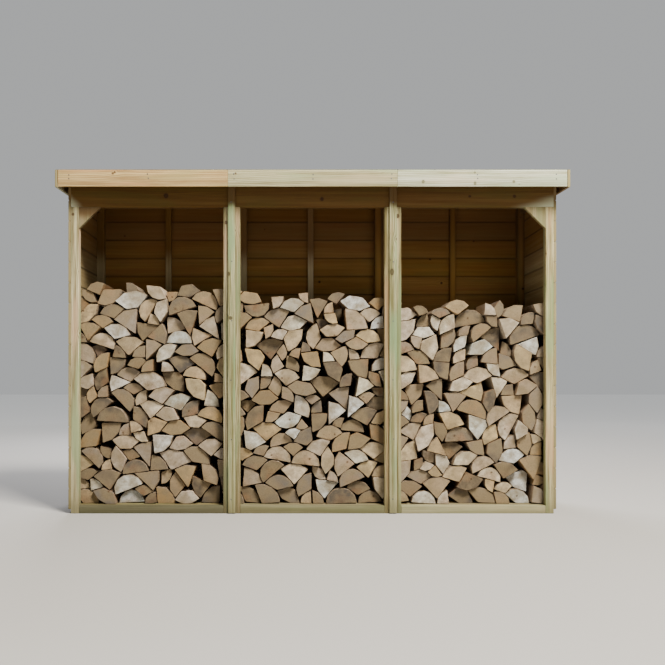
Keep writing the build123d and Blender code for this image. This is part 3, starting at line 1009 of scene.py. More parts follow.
class Finishes:
    """The store's finishes, built once and shared by its pieces.

    Timber under the roof still has the preservative's brown and is painted darker as shade, and
    timber outside has weathered to a greenish beige. The roof's edge boards are planed, and each
    fascia has its own colour.
    """

    def __init__(self) -> None:
        """Build every material. Colours are light, dark, stain, blush and knot, in that order."""
        wood = TreatedSoftwood
        brown: dict[str, Any] = dict(
            knot="#34200F", largest_knot_mm=8, knots_per_m=1.8, stain_cover=0.45, blush_cover=0.4
        )
        sawn = {
            "posts": wood(
                "#CCC295", "#776A40", "#8A9B6C", stain_cover=0.72, tone_spread=0.6, contrast=1.15,
                through_knots=(
                    (0.477, 1.661, 9, 11),
                    (-0.482, 1.625, 8, 10),
                    (-1.336, 1.671, 7, 8),
                ),
            ),
            # Left brace: painted shade of the header at its top.
            "braces": wood(
                "#CCC295", "#776A40", tone_spread=0.6,
                kept="#6A4D25", kept_above=1.64, kept_fade=0.05, kept_cover=0.86,
            ),
            # Cover strips: painted shade of the fascia at the top.
            "strips": wood(
                "#B7B48D", "#6E6A42", "#7F966C", "#B39670", "#453B24",
                stain_cover=0.8, contrast=1.1, kept_above=1.71,
                through_knots=((0.443, 1.347, 11, 19), (-0.466, 1.336, 8, 11)),
            ),
            # Headers: a dark brown that paints the shade under the fascia over the preservative's
            # brown; their pale corners are painted light.
            "headers": wood(
                "#654A1D", "#482D10", "#54471B", "#5F3E18", contrast=0.6, warmth_spread=0.04,
                through_knots=(
                    (-0.817, 1.773, 12, 13),
                    (0.054, 1.756, 9, 10),
                    (1.129, 1.771, 8, 8),
                    (0.879, 1.771, 7, 6),
                ),
                washed=((-1.349, 1.712, -0.95), (1.349, 1.712, 0.32)),
                **brown,
            ),
            "sills": wood("#AAA682", "#706D4A", "#7B875A", "#A2906B", tone_spread=1.0),
            # Cladding: darker along the top as painted shade of the eaves, in the preservative's
            # brown.
            "cladding": wood(
                "#B9AD84", "#877A53", "#959B72", "#B79C76", stain_cover=0.4, blush_cover=0.3,
                contrast=0.75, knots_per_m=1.8, warmth_spread=0.12, tone_spread=0.2,
                edge_tone=-0.45, kept_above=1.715, kept_fade=0.06, kept_cover=0.75,
            ),
            # Inner faces of the back, rafters and deck: the preservative's brown, painted darker as
            # shade, and darker still towards the top as painted shade.
            "sheltered_shade": wood(
                "#926E34", "#6A4B20", "#7A6834", "#8A5C2C",
                contrast=0.5, tone_spread=0.17, warmth_spread=0.08, edge_tone=-0.62,
                kept="#55330F", kept_above=1.36, kept_fade=0.4, kept_cover=0.75, **brown,
            ),
            # Inner faces of the sides: painted shade inside the store, darker towards the top.
            "side_lining": wood(
                "#AE9C74", "#82704C", "#8E885E", "#A2835A",
                contrast=0.6, tone_spread=0.22, warmth_spread=0.12, edge_tone=-0.75,
                kept="#7A5527", kept_above=1.34, kept_fade=0.3, kept_cover=0.85, **brown,
            ),
            # Studs: lighter low down and darker towards the top, as painted shade.
            "studs": wood(
                "#A99A78", "#786A4E", "#8A8460", "#9A8562", contrast=0.6, tone_spread=0.2,
                kept="#5F421B", kept_above=1.44, kept_fade=0.16, **brown,
            ),
            "floor": wood("#B8A77C", "#85714A"),
        }
        smooth: dict[str, Any] = dict(
            saw_marks=0.08, ring_mm=10.0, contrast=1.0, roughness=0.66,
            tone_spread=0.06, knots_per_m=2.0, largest_knot_mm=9,
        )
        planed = {
            "left": wood(
                "#C7AD79", "#96784C", "#A99A66", "#C79A6A",
                through_knots=((-1.092, 1.874, 6, 6),), **smooth,
            ),
            "middle": wood(
                "#B8B389", "#8B8256", "#9EA878", "#BAA87F",
                through_knots=((-0.421, 1.874, 5, 5),), **smooth,
            ),
            "right": wood(
                "#D0D2BC", "#989876", "#B8C4A5", "#CCC0A4", "#6F6C50",
                through_knots=(
                    (0.604, 1.829, 8, 9),
                    (0.886, 1.879, 6, 6),
                    (0.887, 1.820, 7, 10),
                    (1.099, 1.829, 7, 7),
                ),
                **smooth,
            ),
            "edge": wood("#BFB48A", "#897C52", "#9AA072", "#BD9F78", **smooth),
        }
        self.sawn = {name: one.material(f"sawn_spruce_{name}") for name, one in sawn.items()}
        self.planed = {name: one.material(f"planed_spruce_{name}") for name, one in planed.items()}
        self.logs = SplitFirewood().material("split_hardwood")
        self.felt = MineralFelt().material("mineral_felt")
        self.nails = GalvanisedSteel().material("galvanised_steel")


# The shelter


@dataclass
class FrontFrames:
    """Posts, headers, sills, braces and cover strips of the three open bays."""

    finishes: Finishes
    ease: float = 2.2 * MM
    strip_ease: float = 1.5 * MM
    # Tones are partly the wood's own and partly painted light and shade: darker on the posts beside
    # the cover strips, the left sill and the left brace, lighter on the outer posts and right sill.
    post_tones: tuple[tuple[float, float], ...] = ((0.62, 0.0), (0.04, 0.0), (0.04, 0.64))
    sill_tones: tuple[float, float, float] = (0.02, 0.35, 1.0)
    strip_tones: tuple[float, float] = (0.5, 0.5)
    gusset_tones: tuple[float, float] = (0.15, 0.6)

    def gussets(self, rng: np.random.Generator) -> list[Patch]:
        """Triangular braces, carried back from an eased outline, with end grain on their sides.

        Args:
            rng: Source of their tones and grain.

        Returns:
            One surface for each brace.
        """
        patches = []
        for solid, tone in zip(solids_of("corner_gussets"), self.gusset_tones):
            low, high = extents(solid)
            corners, middle = front_outline(solid)
            share = np.array([0.0, 0.03, 0.5, 0.97])[None, :, None]
            following = np.roll(corners, -1, axis=0)
            outline = (corners[:, None] * (1 - share) + following[:, None] * share).reshape(-1, 2)
            beside = outline[1::4] + np.roll(outline, 1, axis=0)[::4]
            outline[::4] = (2 * outline[::4] + beside) / 4
            edge = np.tile([1.0, 0.6, 0.0, 0.6], len(corners))
            section, centre = (outline - middle)[:, ::-1], middle[::-1]
            depth, ease = high[1] - low[1], self.strip_ease
            patch = swept(section, edge, low[1], depth, Run.DEEP, centre, rng, ease, pitch=0.02)
            patch.quad_mark[np.abs(patch.facing((0, 1, 0))) < 0.5, :, 0] = 1.0
            patches.append(patch.toned(tone))
        return patches

    def build(self) -> None:
        """Build every piece of the front."""
        rng = np.random.default_rng(11)
        sawn = self.finishes.sawn
        posts = [
            (f"sawn_posts_{bay}", f"front_posts_{bay}", Run.UP, self.ease, tones, "posts")
            for bay, tones in zip(BAYS, self.post_tones)
        ]
        for name, node, run, ease, tones, finish in (
            *posts,
            ("header_boards", "headers", Run.ACROSS, self.ease, (), "headers"),
            ("sill_rails", "sills", Run.ACROSS, self.ease, self.sill_tones, "sills"),
            ("joint_strips", "cover_strips", Run.UP, self.strip_ease, self.strip_tones, "strips"),
        ):
            timbers = timbers_on(node, run, rng, ease)
            for patch, tone in zip(timbers, tones):
                patch.toned(tone)
            make_piece(name, timbers, sawn[finish], FRAMING, [node])
        left, right = self.gussets(rng)
        # The left brace takes the finish with painted shade at its top.
        make_piece("corner_brace_left", [left], sawn["braces"], FRAMING, ["corner_gussets"])
        make_piece("corner_brace_right", [right], sawn["posts"], FRAMING, ["corner_gussets"])


@dataclass
class Walls:
    """Boarded back and sides, with the studs and rails that they are nailed to.

    Studs to the right of a given x carry the second finish over their whole length: the fresh
    treatment's brown, painted darker as shade.
    The faces from inner_from to inner_to, counted round a board's section, look inwards.
    """

    finishes: Finishes
    cover: float = 115 * MM
    chamfer_out: float = 4.5 * MM
    chamfer_in: float = 2.0 * MM
    tongue: float = 4.0 * MM
    seam: float = 0.5 * MM
    end_ease: float = 0.8 * MM
    inner_from: int = 5
    inner_to: int = 20
    shaded_from: float = 0.3

    def board_section(
        self, height: float, thickness: float, first: bool, last: bool
    ) -> tuple[Array, Array]:
        """Section of one tongued and V-jointed board.

        The outline goes up the outer face, over the tongue, down the inner face and round the
        groove. The V is wide outside and narrow inside.

        Args:
            height: Cover of the board.
            thickness: Its thickness.
            first: Whether it is the lowest, with no groove.
            last: Whether it is the highest, with no tongue.

        Returns:
            Points as (up, outward) about the board's middle, and a mark that is 1 on the edges.
        """
        top, out, t = height / 2 - self.seam / 2, thickness / 2, thickness / 6
        low = -top
        co, ci = self.chamfer_out, self.chamfer_in
        rise = 0.0 if last else self.tongue
        dip = 0.0 if first else self.tongue
        outline = [
            *((low + co * 0.9, out, 0.6), (low + co * 1.4, out, 0.2), (0.0, out, 0.0)),
            *((top - co * 1.4, out, 0.2), (top - co * 0.9, out, 0.6), (top, out - co, 0.4)),
            *((top, t, 0.2), (top + rise, t * 0.8, 0.2), (top + rise, -t * 0.8, 0.2)),
            *((top, -t, 0.2), (top, -out + ci, 0.4), (top - ci, -out, 0.8)),
            *((top - ci * 3.5, -out, 0.1), (0.0, -out, 0.0), (low + ci * 3.5, -out, 0.1)),
            *((low + ci, -out, 0.8), (low, -out + ci, 0.4), (low, -t * 1.2, 0.2)),
            *((low + dip, -t, 0.2), (low + dip, t, 0.2), (low, t * 1.2, 0.2)),
            (low, out - co, 0.4),
        ]
        rows = np.array(outline)
        return rows[:, :2], rows[:, 2]

    def boards(self, node: str, run: Run, outward: float, rng: np.random.Generator) -> list[Patch]:
        """Boards that make up one panel. The highest board of a side is cut to the roof.

        Args:
            node: Panel that they stand for.
            run: Direction of their length.
            outward: 1 where the outer face looks along the positive axis, -1 otherwise.
            rng: Source of their tones and grain.

        Returns:
            One surface for each board, from the lowest up.
        """
        low, high = extents(solids_of(node)[0])
        side = run is Run.DEEP
        along, thick = run.value[0], 1 - run.value[0]
        length, thickness = high[along] - low[along], high[thick] - low[thick]
        top = high[2] - (ROOF_SLOPE * length if side else 0.0)
        # A rest of more than 0.15 of a board's cover is a board of its own.
        count = int(round((top - low[2]) / self.cover + 0.35))
        patches = []
        for index in range(count):
            last = index == count - 1
            start = low[2] + index * self.cover
            end = top if last else start + self.cover
            section, edge = self.board_section(end - start, thickness, index == 0, last)
            section = section * (1.0, outward)
            centre = ((start + end) / 2, (low[thick] + high[thick]) / 2)
            if not side:
                section, centre = section[:, ::-1], centre[::-1]
            at, long = low[along] + self.seam, length - 2 * self.seam
            patch = swept(section, edge, at, long, run, centre, rng, self.end_ease, pitch=0.3)
            around = np.arange(len(patch.quads)) % len(section)
            # The inner faces take the second finish: the preservative's brown, painted darker as
            # shade.
            patch.sheltered_shade = (around >= self.inner_from) & (around <= self.inner_to)
            if side and last:
                share = np.clip((patch.points[:, 2] - start) / (end - start), 0, 1)
                patch.points[:, 2] += ROOF_SLOPE * (patch.points[:, 1] - low[1]) * share
            patches.append(patch)
        return patches

    def build(self) -> None:
        """Build the back, the sides and their frames."""
        rng = np.random.default_rng(12)
        sawn = self.finishes.sawn
        backs = [
            (f"back_cladding_{bay}", f"rear_boards_{bay}", Run.ACROSS, 1.0, "sheltered_shade")
            for bay in BAYS
        ]
        sides = [
            (f"side_cladding_{side}", f"side_boards_{side}", Run.DEEP, outward, "side_lining")
            for side, outward in SIDES.items()
        ]
        for name, node, run, outward, inner in backs + sides:
            boards = self.boards(node, run, outward, rng)
            looks = {"sharp_degrees": 25.0, "sheltered_shade_finish": sawn[inner]}
            make_piece(name, boards, sawn["cladding"], BOARDS, [node], **looks)
        for name, node, run in (
            ("back_corner_studs", "rear_studs", Run.UP),
            ("back_middle_studs", "rear_mid_studs", Run.UP),
            ("back_rails", "rear_rails", Run.ACROSS),
            ("side_top_rails", "side_rails", Run.DEEP),
        ):
            timbers = timbers_on(node, run, rng)
            for patch in timbers:
                # Studs right of the given x are painted in shade over their whole length.
                brown = patch.points[:, 0].mean() > self.shaded_from
                patch.sheltered_shade = np.full(len(patch.quads), brown)
            second = sawn["sheltered_shade"] if run is Run.UP else None
            make_piece(name, timbers, sawn["studs"], FRAMING, [node], sheltered_shade_finish=second)


@dataclass
class Floor:
    """Bearers on the ground and spaced slats over them."""

    finishes: Finishes
    slat_ease: float = 1.5 * MM

    def build(self) -> None:
        """Build the bearers and the slats."""
        rng = np.random.default_rng(13)
        finish = self.finishes.sawn["floor"]
        bearers = timbers_on("floor_bearers", Run.DEEP, rng)
        make_piece("bearers", bearers, finish, "floor_timber", ["floor_bearers"])
        for bay in BAYS:
            node = f"floor_slats_{bay}"
            slats = timbers_on(node, Run.ACROSS, rng, self.slat_ease)
            make_piece(f"slats_{bay}", slats, finish, "floor_timber", [node])


@dataclass
class Roof:
    """Rafters, boarded deck, felt and the boards round its edge."""

    finishes: Finishes
    nail_room: float = 0.6 * MM
    edge_ease: float = 1.8 * MM
    deck_board: float = 96 * MM
    deck_seam: float = 1.0 * MM
    deck_ease: float = 1.2 * MM
    felt_lap: float = 80 * MM
    felt_grid: tuple[int, int] = (180, 60)

    def edge_board(
        self, node: str, run: Run, axis: int, sign: float, rng: np.random.Generator
    ) -> Patch:
        """Board of the roof's edge, a nail head's height inside its solid on the outer face.

        Its back and its lower edge are under the roof, and carry the second finish, which paints
        them in the shade under the roof. A board that runs deep follows the roof.

        Args:
            node: Board that it stands for.
            run: Direction of its length.
            axis: Axis that its outer face looks along.
            sign: Direction along it.
            rng: Source of its tone and grain.

        Returns:
            The closed surface.
        """
        sloped = run is Run.DEEP
        low, high = extents(solids_of(node)[0], sloped)
        (high if sign > 0 else low)[axis] -= sign * self.nail_room
        patch = timber(low, high, run, rng, self.edge_ease, sloped)
        outward = np.zeros(3)
        outward[axis] = sign
        # The back and the lower faces are painted in shade.
        patch.sheltered_shade = (patch.facing(outward) < -0.5) | (patch.facing((0.0, 0.0, -1.0)) > 0.8)
        return patch

    def deck(self, rng: np.random.Generator) -> list[Patch]:
        """Deck boards that run across the rafters, with open seams.

        Args:
            rng: Source of their tones and grain.

        Returns:
            One surface for each board.
        """
        patches = []
        for solid in solids_of("roof_deck"):
            low, high = extents(solid, sloped=True)
            count = int(round((high[1] - low[1]) / self.deck_board))
            starts = np.linspace(low[1], high[1], count + 1)
            for low[1], high[1] in zip(starts[:-1], starts[1:] - self.deck_seam):
                patches.append(timber(low, high, Run.ACROSS, rng, self.deck_ease, sloped=True))
        return patches

    def felt(self, rng: np.random.Generator) -> Patch:
        """Sheet of felt: a thin slab whose top rises and falls a little over the boards' seams.

        The top is at thickness * (0.55 + 0.2 * w + 0.25 * lap), where w is a slow wave from 0 to
        1, and lap is 1 at the edge of the upper sheet and falls to 0 over the sheet below. The
        rim is pressed down to 0.45 of the thickness.

        Args:
            rng: Source of its waves.

        Returns:
            The closed surface.
        """
        low, high = extents(solids_of("roof_felt")[0], sloped=True)
        across, deep = self.felt_grid
        x = np.linspace(low[0], high[0], across)
        y = np.linspace(low[1], high[1], deep)
        gx, gy = np.meshgrid(x, y, indexing="ij")
        a, b, c, _ = rng.uniform(0, TURN, 4)
        wave = np.sin(gx * 9 + a) + np.sin(gy * 65 + b) + np.sin(gx * 23 + gy * 17 + c)
        lap = np.zeros_like(gx)
        for third in (1, 2):
            seam = low[0] + third * (high[0] - low[0]) / 3
            lap = np.where(gx > seam, np.maximum(lap, 1 - (gx - seam) / self.felt_lap), lap)
        thick = high[2] - low[2]
        top = low[2] + thick * (0.55 + 0.2 * np.clip(0.25 * wave + 0.5, 0, 1) + 0.25 * lap)
        rim = (gx == x[0]) | (gx == x[-1]) | (gy == y[0]) | (gy == y[-1])
        top[rim] = low[2] + 0.45 * thick
        levels = [np.stack([gx, gy, z], axis=-1) for z in (top, np.full_like(gx, low[2]))]
        points = sheared(np.concatenate(levels).reshape(-1, 3))
        i, j = np.meshgrid(np.arange(across - 1), np.arange(deep - 1), indexing="ij")
        a, n = i * deep + j, across * deep
        sheet = np.stack([a, a + deep, a + deep + 1, a + 1], axis=-1).reshape(-1, 4)
        near, left = np.arange(across - 1) * deep, np.arange(deep - 1)
        far, right = near + deep - 1, left + (across - 1) * deep
        rims = ((near + deep, near), (far, far + deep), (left, left + 1), (right + 1, right))
        sides = [np.stack([one, two, two + n, one + n], axis=1) for one, two in rims]
        quads = np.concatenate([sheet, sheet[:, ::-1] + n, *sides])
        patch = Patch.unmarked(points, quads, np.zeros((0, 3), int))
        patch.quad_uv = points[quads][:, :, :2]
        return patch.outward()

    def build(self) -> None:
        """Build the roof."""
        rng = np.random.default_rng(14)
        sawn, planed = self.finishes.sawn, self.finishes.planed
        rafters = timbers_on("rafters", Run.DEEP, rng, sloped=True)
        make_piece("rafter_set", rafters, sawn["sheltered_shade"], FRAMING, ["rafters"])
        make_piece("deck_boards", self.deck(rng), sawn["sheltered_shade"], BOARDS, ["roof_deck"])
        felt, finish, node = [self.felt(rng)], self.finishes.felt, ["roof_felt"]
        make_piece("felt_sheet", felt, finish, "mineral_felt", node, sharp_degrees=60.0)
        front = [(f"fascia_board_{bay}", f"fascia_{bay}", Run.ACROSS, 1, -1.0, bay) for bay in BAYS]
        rear = ("rear_fascia_board", "rear_fascia", Run.ACROSS, 1, 1.0, "edge")
        verges = [
            (f"verge_board_{side}", f"barge_board_{side}", Run.DEEP, 0, sign, "edge")
            for side, sign in SIDES.items()
        ]
        for name, node, run, axis, sign, finish in (*front, rear, *verges):
            board = self.edge_board(node, run, axis, sign, rng)
            # The headers' finish paints the hidden faces in shade.
            under = sawn["headers"]
            make_piece(name, [board], planed[finish], TRIM, [node], sheltered_shade_finish=under)


# The firewood


@dataclass
class Firewood:
    """Two rows of split logs, built log by log on the outlines of the stacked solids.

    Each row has a name, a number of points round a log and a number of stations along it. Logs
    that start further back than a given depth are darker, weathered grey and painted in the shade
    of their recess; the darkening grows with the depth.
    """

    finishes: Finishes
    tilt: float = 0.055
    bark_rim: float = 4.0 * MM
    bark_wear: float = 0.9 * MM
    split_wear: float = 2.2 * MM
    crispness: float = 5.0
    end_ease: float = 0.028
    taper: float = 0.025
    recess_darkening: float = 40.0
    recess_from: float = 12 * MM
    rows: tuple[tuple[str, int, int], ...] = (("front", 44, 6), ("rear", 22, 3))

    def outline(self, solid: Array) -> tuple[Array, int, Array]:
        """Read a log's end: its corners, which of its edges are bark, and where its heart was.

        The bark follows a round in equal chords, so it is the longest run of edges of one length,
        and the heart is the centre of the circle through three of its corners.

        Args:
            solid: Vertices of the log.

        Returns:
            Corners (x, z) in order from the first of the bark, the number of the bark's edges,
            and the heart.
        """
        same_length = 3e-5
        corners, middle = front_outline(solid)
        count = len(corners)
        lengths = np.linalg.norm(np.roll(corners, -1, axis=0) - corners, axis=1)
        best, most = 0, 1
        for first in range(count):
            off = np.abs(np.roll(lengths, -first) - lengths[first])
            same = 1
            while same < count - 1 and off[same] < same_length:
                same += 1
            if same > most:
                best, most = first, same
        corners = np.roll(corners, -best, axis=0)
        a, b, c = corners[:3]
        sides = 2 * np.array([b - a, c - a])
        if most > 1 and abs(np.linalg.det(sides)) > 1e-9:
            middle = np.linalg.solve(sides, np.array([(b @ b) - (a @ a), (c @ c) - (a @ a)]))
        return corners, most, middle

    def steps_round(self, walk: Array, ring: int) -> Array:
        """Share the points of a ring out over the edges of an outline, with one on every corner.

        Args:
            walk: Distance round the outline at each corner, from zero to the whole length.
            ring: Number of points.

        Returns:
            Distance round the outline of each point.
        """
        lengths = np.diff(walk)
        parts = np.ones(len(lengths), int)
        for _ in range(ring - len(lengths)):
            parts[np.argmax(lengths / parts)] += 1
        steps = zip(walk, lengths, parts)
        return np.concatenate([start + length * np.arange(n) / n for start, length, n in steps])

    def body(
        self, solid: Array, worn: Array, bark: Array, stations: Array, rng: np.random.Generator
    ) -> Array:
        """Surface of one log as rings of points.

        The rings are drawn in by smooth noise along the log; the split faces are rougher than the
        bark. The ends are cut a few degrees out of square.

        Args:
            solid: Vertices of the log's solid.
            worn: Its outline (x, z).
            bark: 1 at the points that lie on bark.
            stations: Share of the length at each ring.
            rng: Source of its roughness, taper and cuts.

        Returns:
            Points by ring and by place round it.
        """
        near, far = solid[:, 1].min(), solid[:, 1].max()
        middle = worn.mean(axis=0)
        tangent = np.roll(worn, -1, axis=0) - np.roll(worn, 1, axis=0)
        normal = np.stack([tangent[:, 1], -tangent[:, 0]], axis=1)
        normal /= np.linalg.norm(normal, axis=1)[:, None]
        phase = rng.uniform(0, TURN, 6)
        turn = TURN * (np.arange(len(worn)) / len(worn))[None]
        along = TURN * stations[:, None]
        rough = 0.5 + 0.18 * (
            np.sin(3 * turn + phase[0] + 0.6 * np.sin(along + phase[1]))
            + np.sin(7 * turn + phase[2] - 0.9 * along / 2)
            + np.sin(13 * turn + phase[3] + 1.3 * np.sin(along * 0.7 + phase[4]))
        )
        depth = np.where(bark[None] > 0.5, self.bark_wear, self.split_wear) * np.clip(rough, 0, 1)
        narrow = rng.uniform(0, self.taper)
        taper = 1.0 - narrow * (stations if rng.uniform() < 0.5 else 1 - stations)
        body = middle + (worn - middle) * taper[:, None, None] - normal * depth[..., None]
        for row in (0, -1):
            body[row] = middle + (body[row] - middle) * (1 - self.end_ease)
        cuts = rng.uniform(-self.tilt, self.tilt, (2, 2))
        spread = float(np.abs(worn - middle).max()) * self.tilt
        offset = body - middle
        y_near = near + spread + offset @ cuts[0]
        y_far = far - spread + offset @ cuts[1]
        y = y_near * (1 - stations[:, None]) + y_far * stations[:, None]
        return np.stack([body[..., 0], y, body[..., 1]], axis=-1)

    def logs_on(self, node: str, rng: np.random.Generator, ring: int, rows: int) -> list[Patch]:
        """Logs on each solid of a node.

        Each outline is sampled at its corners and between them, and each sample is averaged with
        its neighbours, so the corners wear a little and stay inside the solid. Logs that lie
        further back are darker: greyed more, and painted in the shade of their recess.

        Args:
            node: Node whose solids are the logs.
            rng: Source of their tones, cuts and roughness.
            ring: Points round a log.
            rows: Stations along it.

        Returns:
            One surface for each log.
        """
        near_end, far_end = 0.006, 0.994
        inner = np.linspace(near_end, far_end, rows)[1:-1]
        stations = np.concatenate([[0.0, near_end], inner, [far_end, 1.0]])
        base = len(stations) * ring
        rims = [band(ring, 0, base)[:, [1, 0, 3, 2]], band(ring, base - ring, base + ring)]
        hub = base + 2 * ring
        discs = [fan(ring, base, hub)[:, [1, 0, 2]], fan(ring, base + ring, hub + 1)]
        end_quads, fans = np.concatenate(rims), np.concatenate(discs)
        pairs = band(ring, 0, 0)[:, :2]
        patches = []
        solids = solids_of(node)
        front = min(solid[:, 1].min() for solid in solids)
        for solid in solids:
            corners, bark_edges, heart = self.outline(solid)
            near, far = solid[:, 1].min(), solid[:, 1].max()
            closed = np.concatenate([corners, corners[:1]])
            edges = np.linalg.norm(np.diff(closed, axis=0), axis=1)
            walk = np.concatenate([[0.0], np.cumsum(edges)])
            at = self.steps_round(walk, ring)
            outline = np.stack([np.interp(at, walk, closed[:, k]) for k in (0, 1)], axis=1)
            bark = (at < walk[bark_edges]).astype(float)
            worn = np.roll(outline, 1, axis=0) + self.crispness * outline
            worn = (worn + np.roll(outline, -1, axis=0)) / (self.crispness + 2)
            middle = worn.mean(axis=0)
            grid = self.body(solid, worn, bark, stations, rng)

            draw = 1 - self.bark_rim / np.abs(worn - middle).max()
            hubs = np.array([[middle[0], grid[row, :, 1].mean(), middle[1]] for row in (0, -1)])
            inside = [hubs[row] + (grid[row] - hubs[row]) * draw for row in (0, -1)]
            points = np.concatenate([grid.reshape(-1, 3), *inside, hubs])

            u = stations * (far - near) + rng.uniform(0, 30)
            v = np.concatenate([at, [at[0] + walk[-1]]]) + rng.uniform(0, 30)
            # Logs further back get darker tones: weathered grey and painted shade of the recess.
            grey = 1.0 + self.recess_darkening * max(0.0, near - front - self.recess_from)
            own = np.array([0.0, 0.0, rng.uniform() ** grey, rng.uniform()])
            quads, side_uv, side_mark = tube(u, v, bark, own)
            flat = points[:, [0, 2]] - heart
            end_mark = np.tile(own, (2 * ring, 4, 1))
            end_mark[:, :2, 1] = np.concatenate([bark[pairs[:, ::-1]], bark[pairs]])
            fan_mark = np.tile(own, (2 * ring, 3, 1))
            for mark in (end_mark, fan_mark):
                mark[:, :, 0] = 1.0
            quad_uv = np.concatenate([side_uv, flat[end_quads]])
            quad_mark = np.concatenate([side_mark, end_mark])
            quads = np.concatenate([quads, end_quads])
            patch = Patch(points, quads, quad_uv, quad_mark, fans, flat[fans], fan_mark)
            patches.append(patch.outward())
        return patches

    def build(self) -> None:
        """Build both rows in the three bays."""
        rng = np.random.default_rng(15)
        for row, ring, rows in self.rows:
            for bay in BAYS:
                node = f"{row}_logs_{bay}"
                logs = self.logs_on(node, rng, ring, rows)
                name, finish = f"{row}_stack_{bay}", self.finishes.logs
                make_piece(name, logs, finish, "split_log", [node], sharp_degrees=50.0)


# Nails


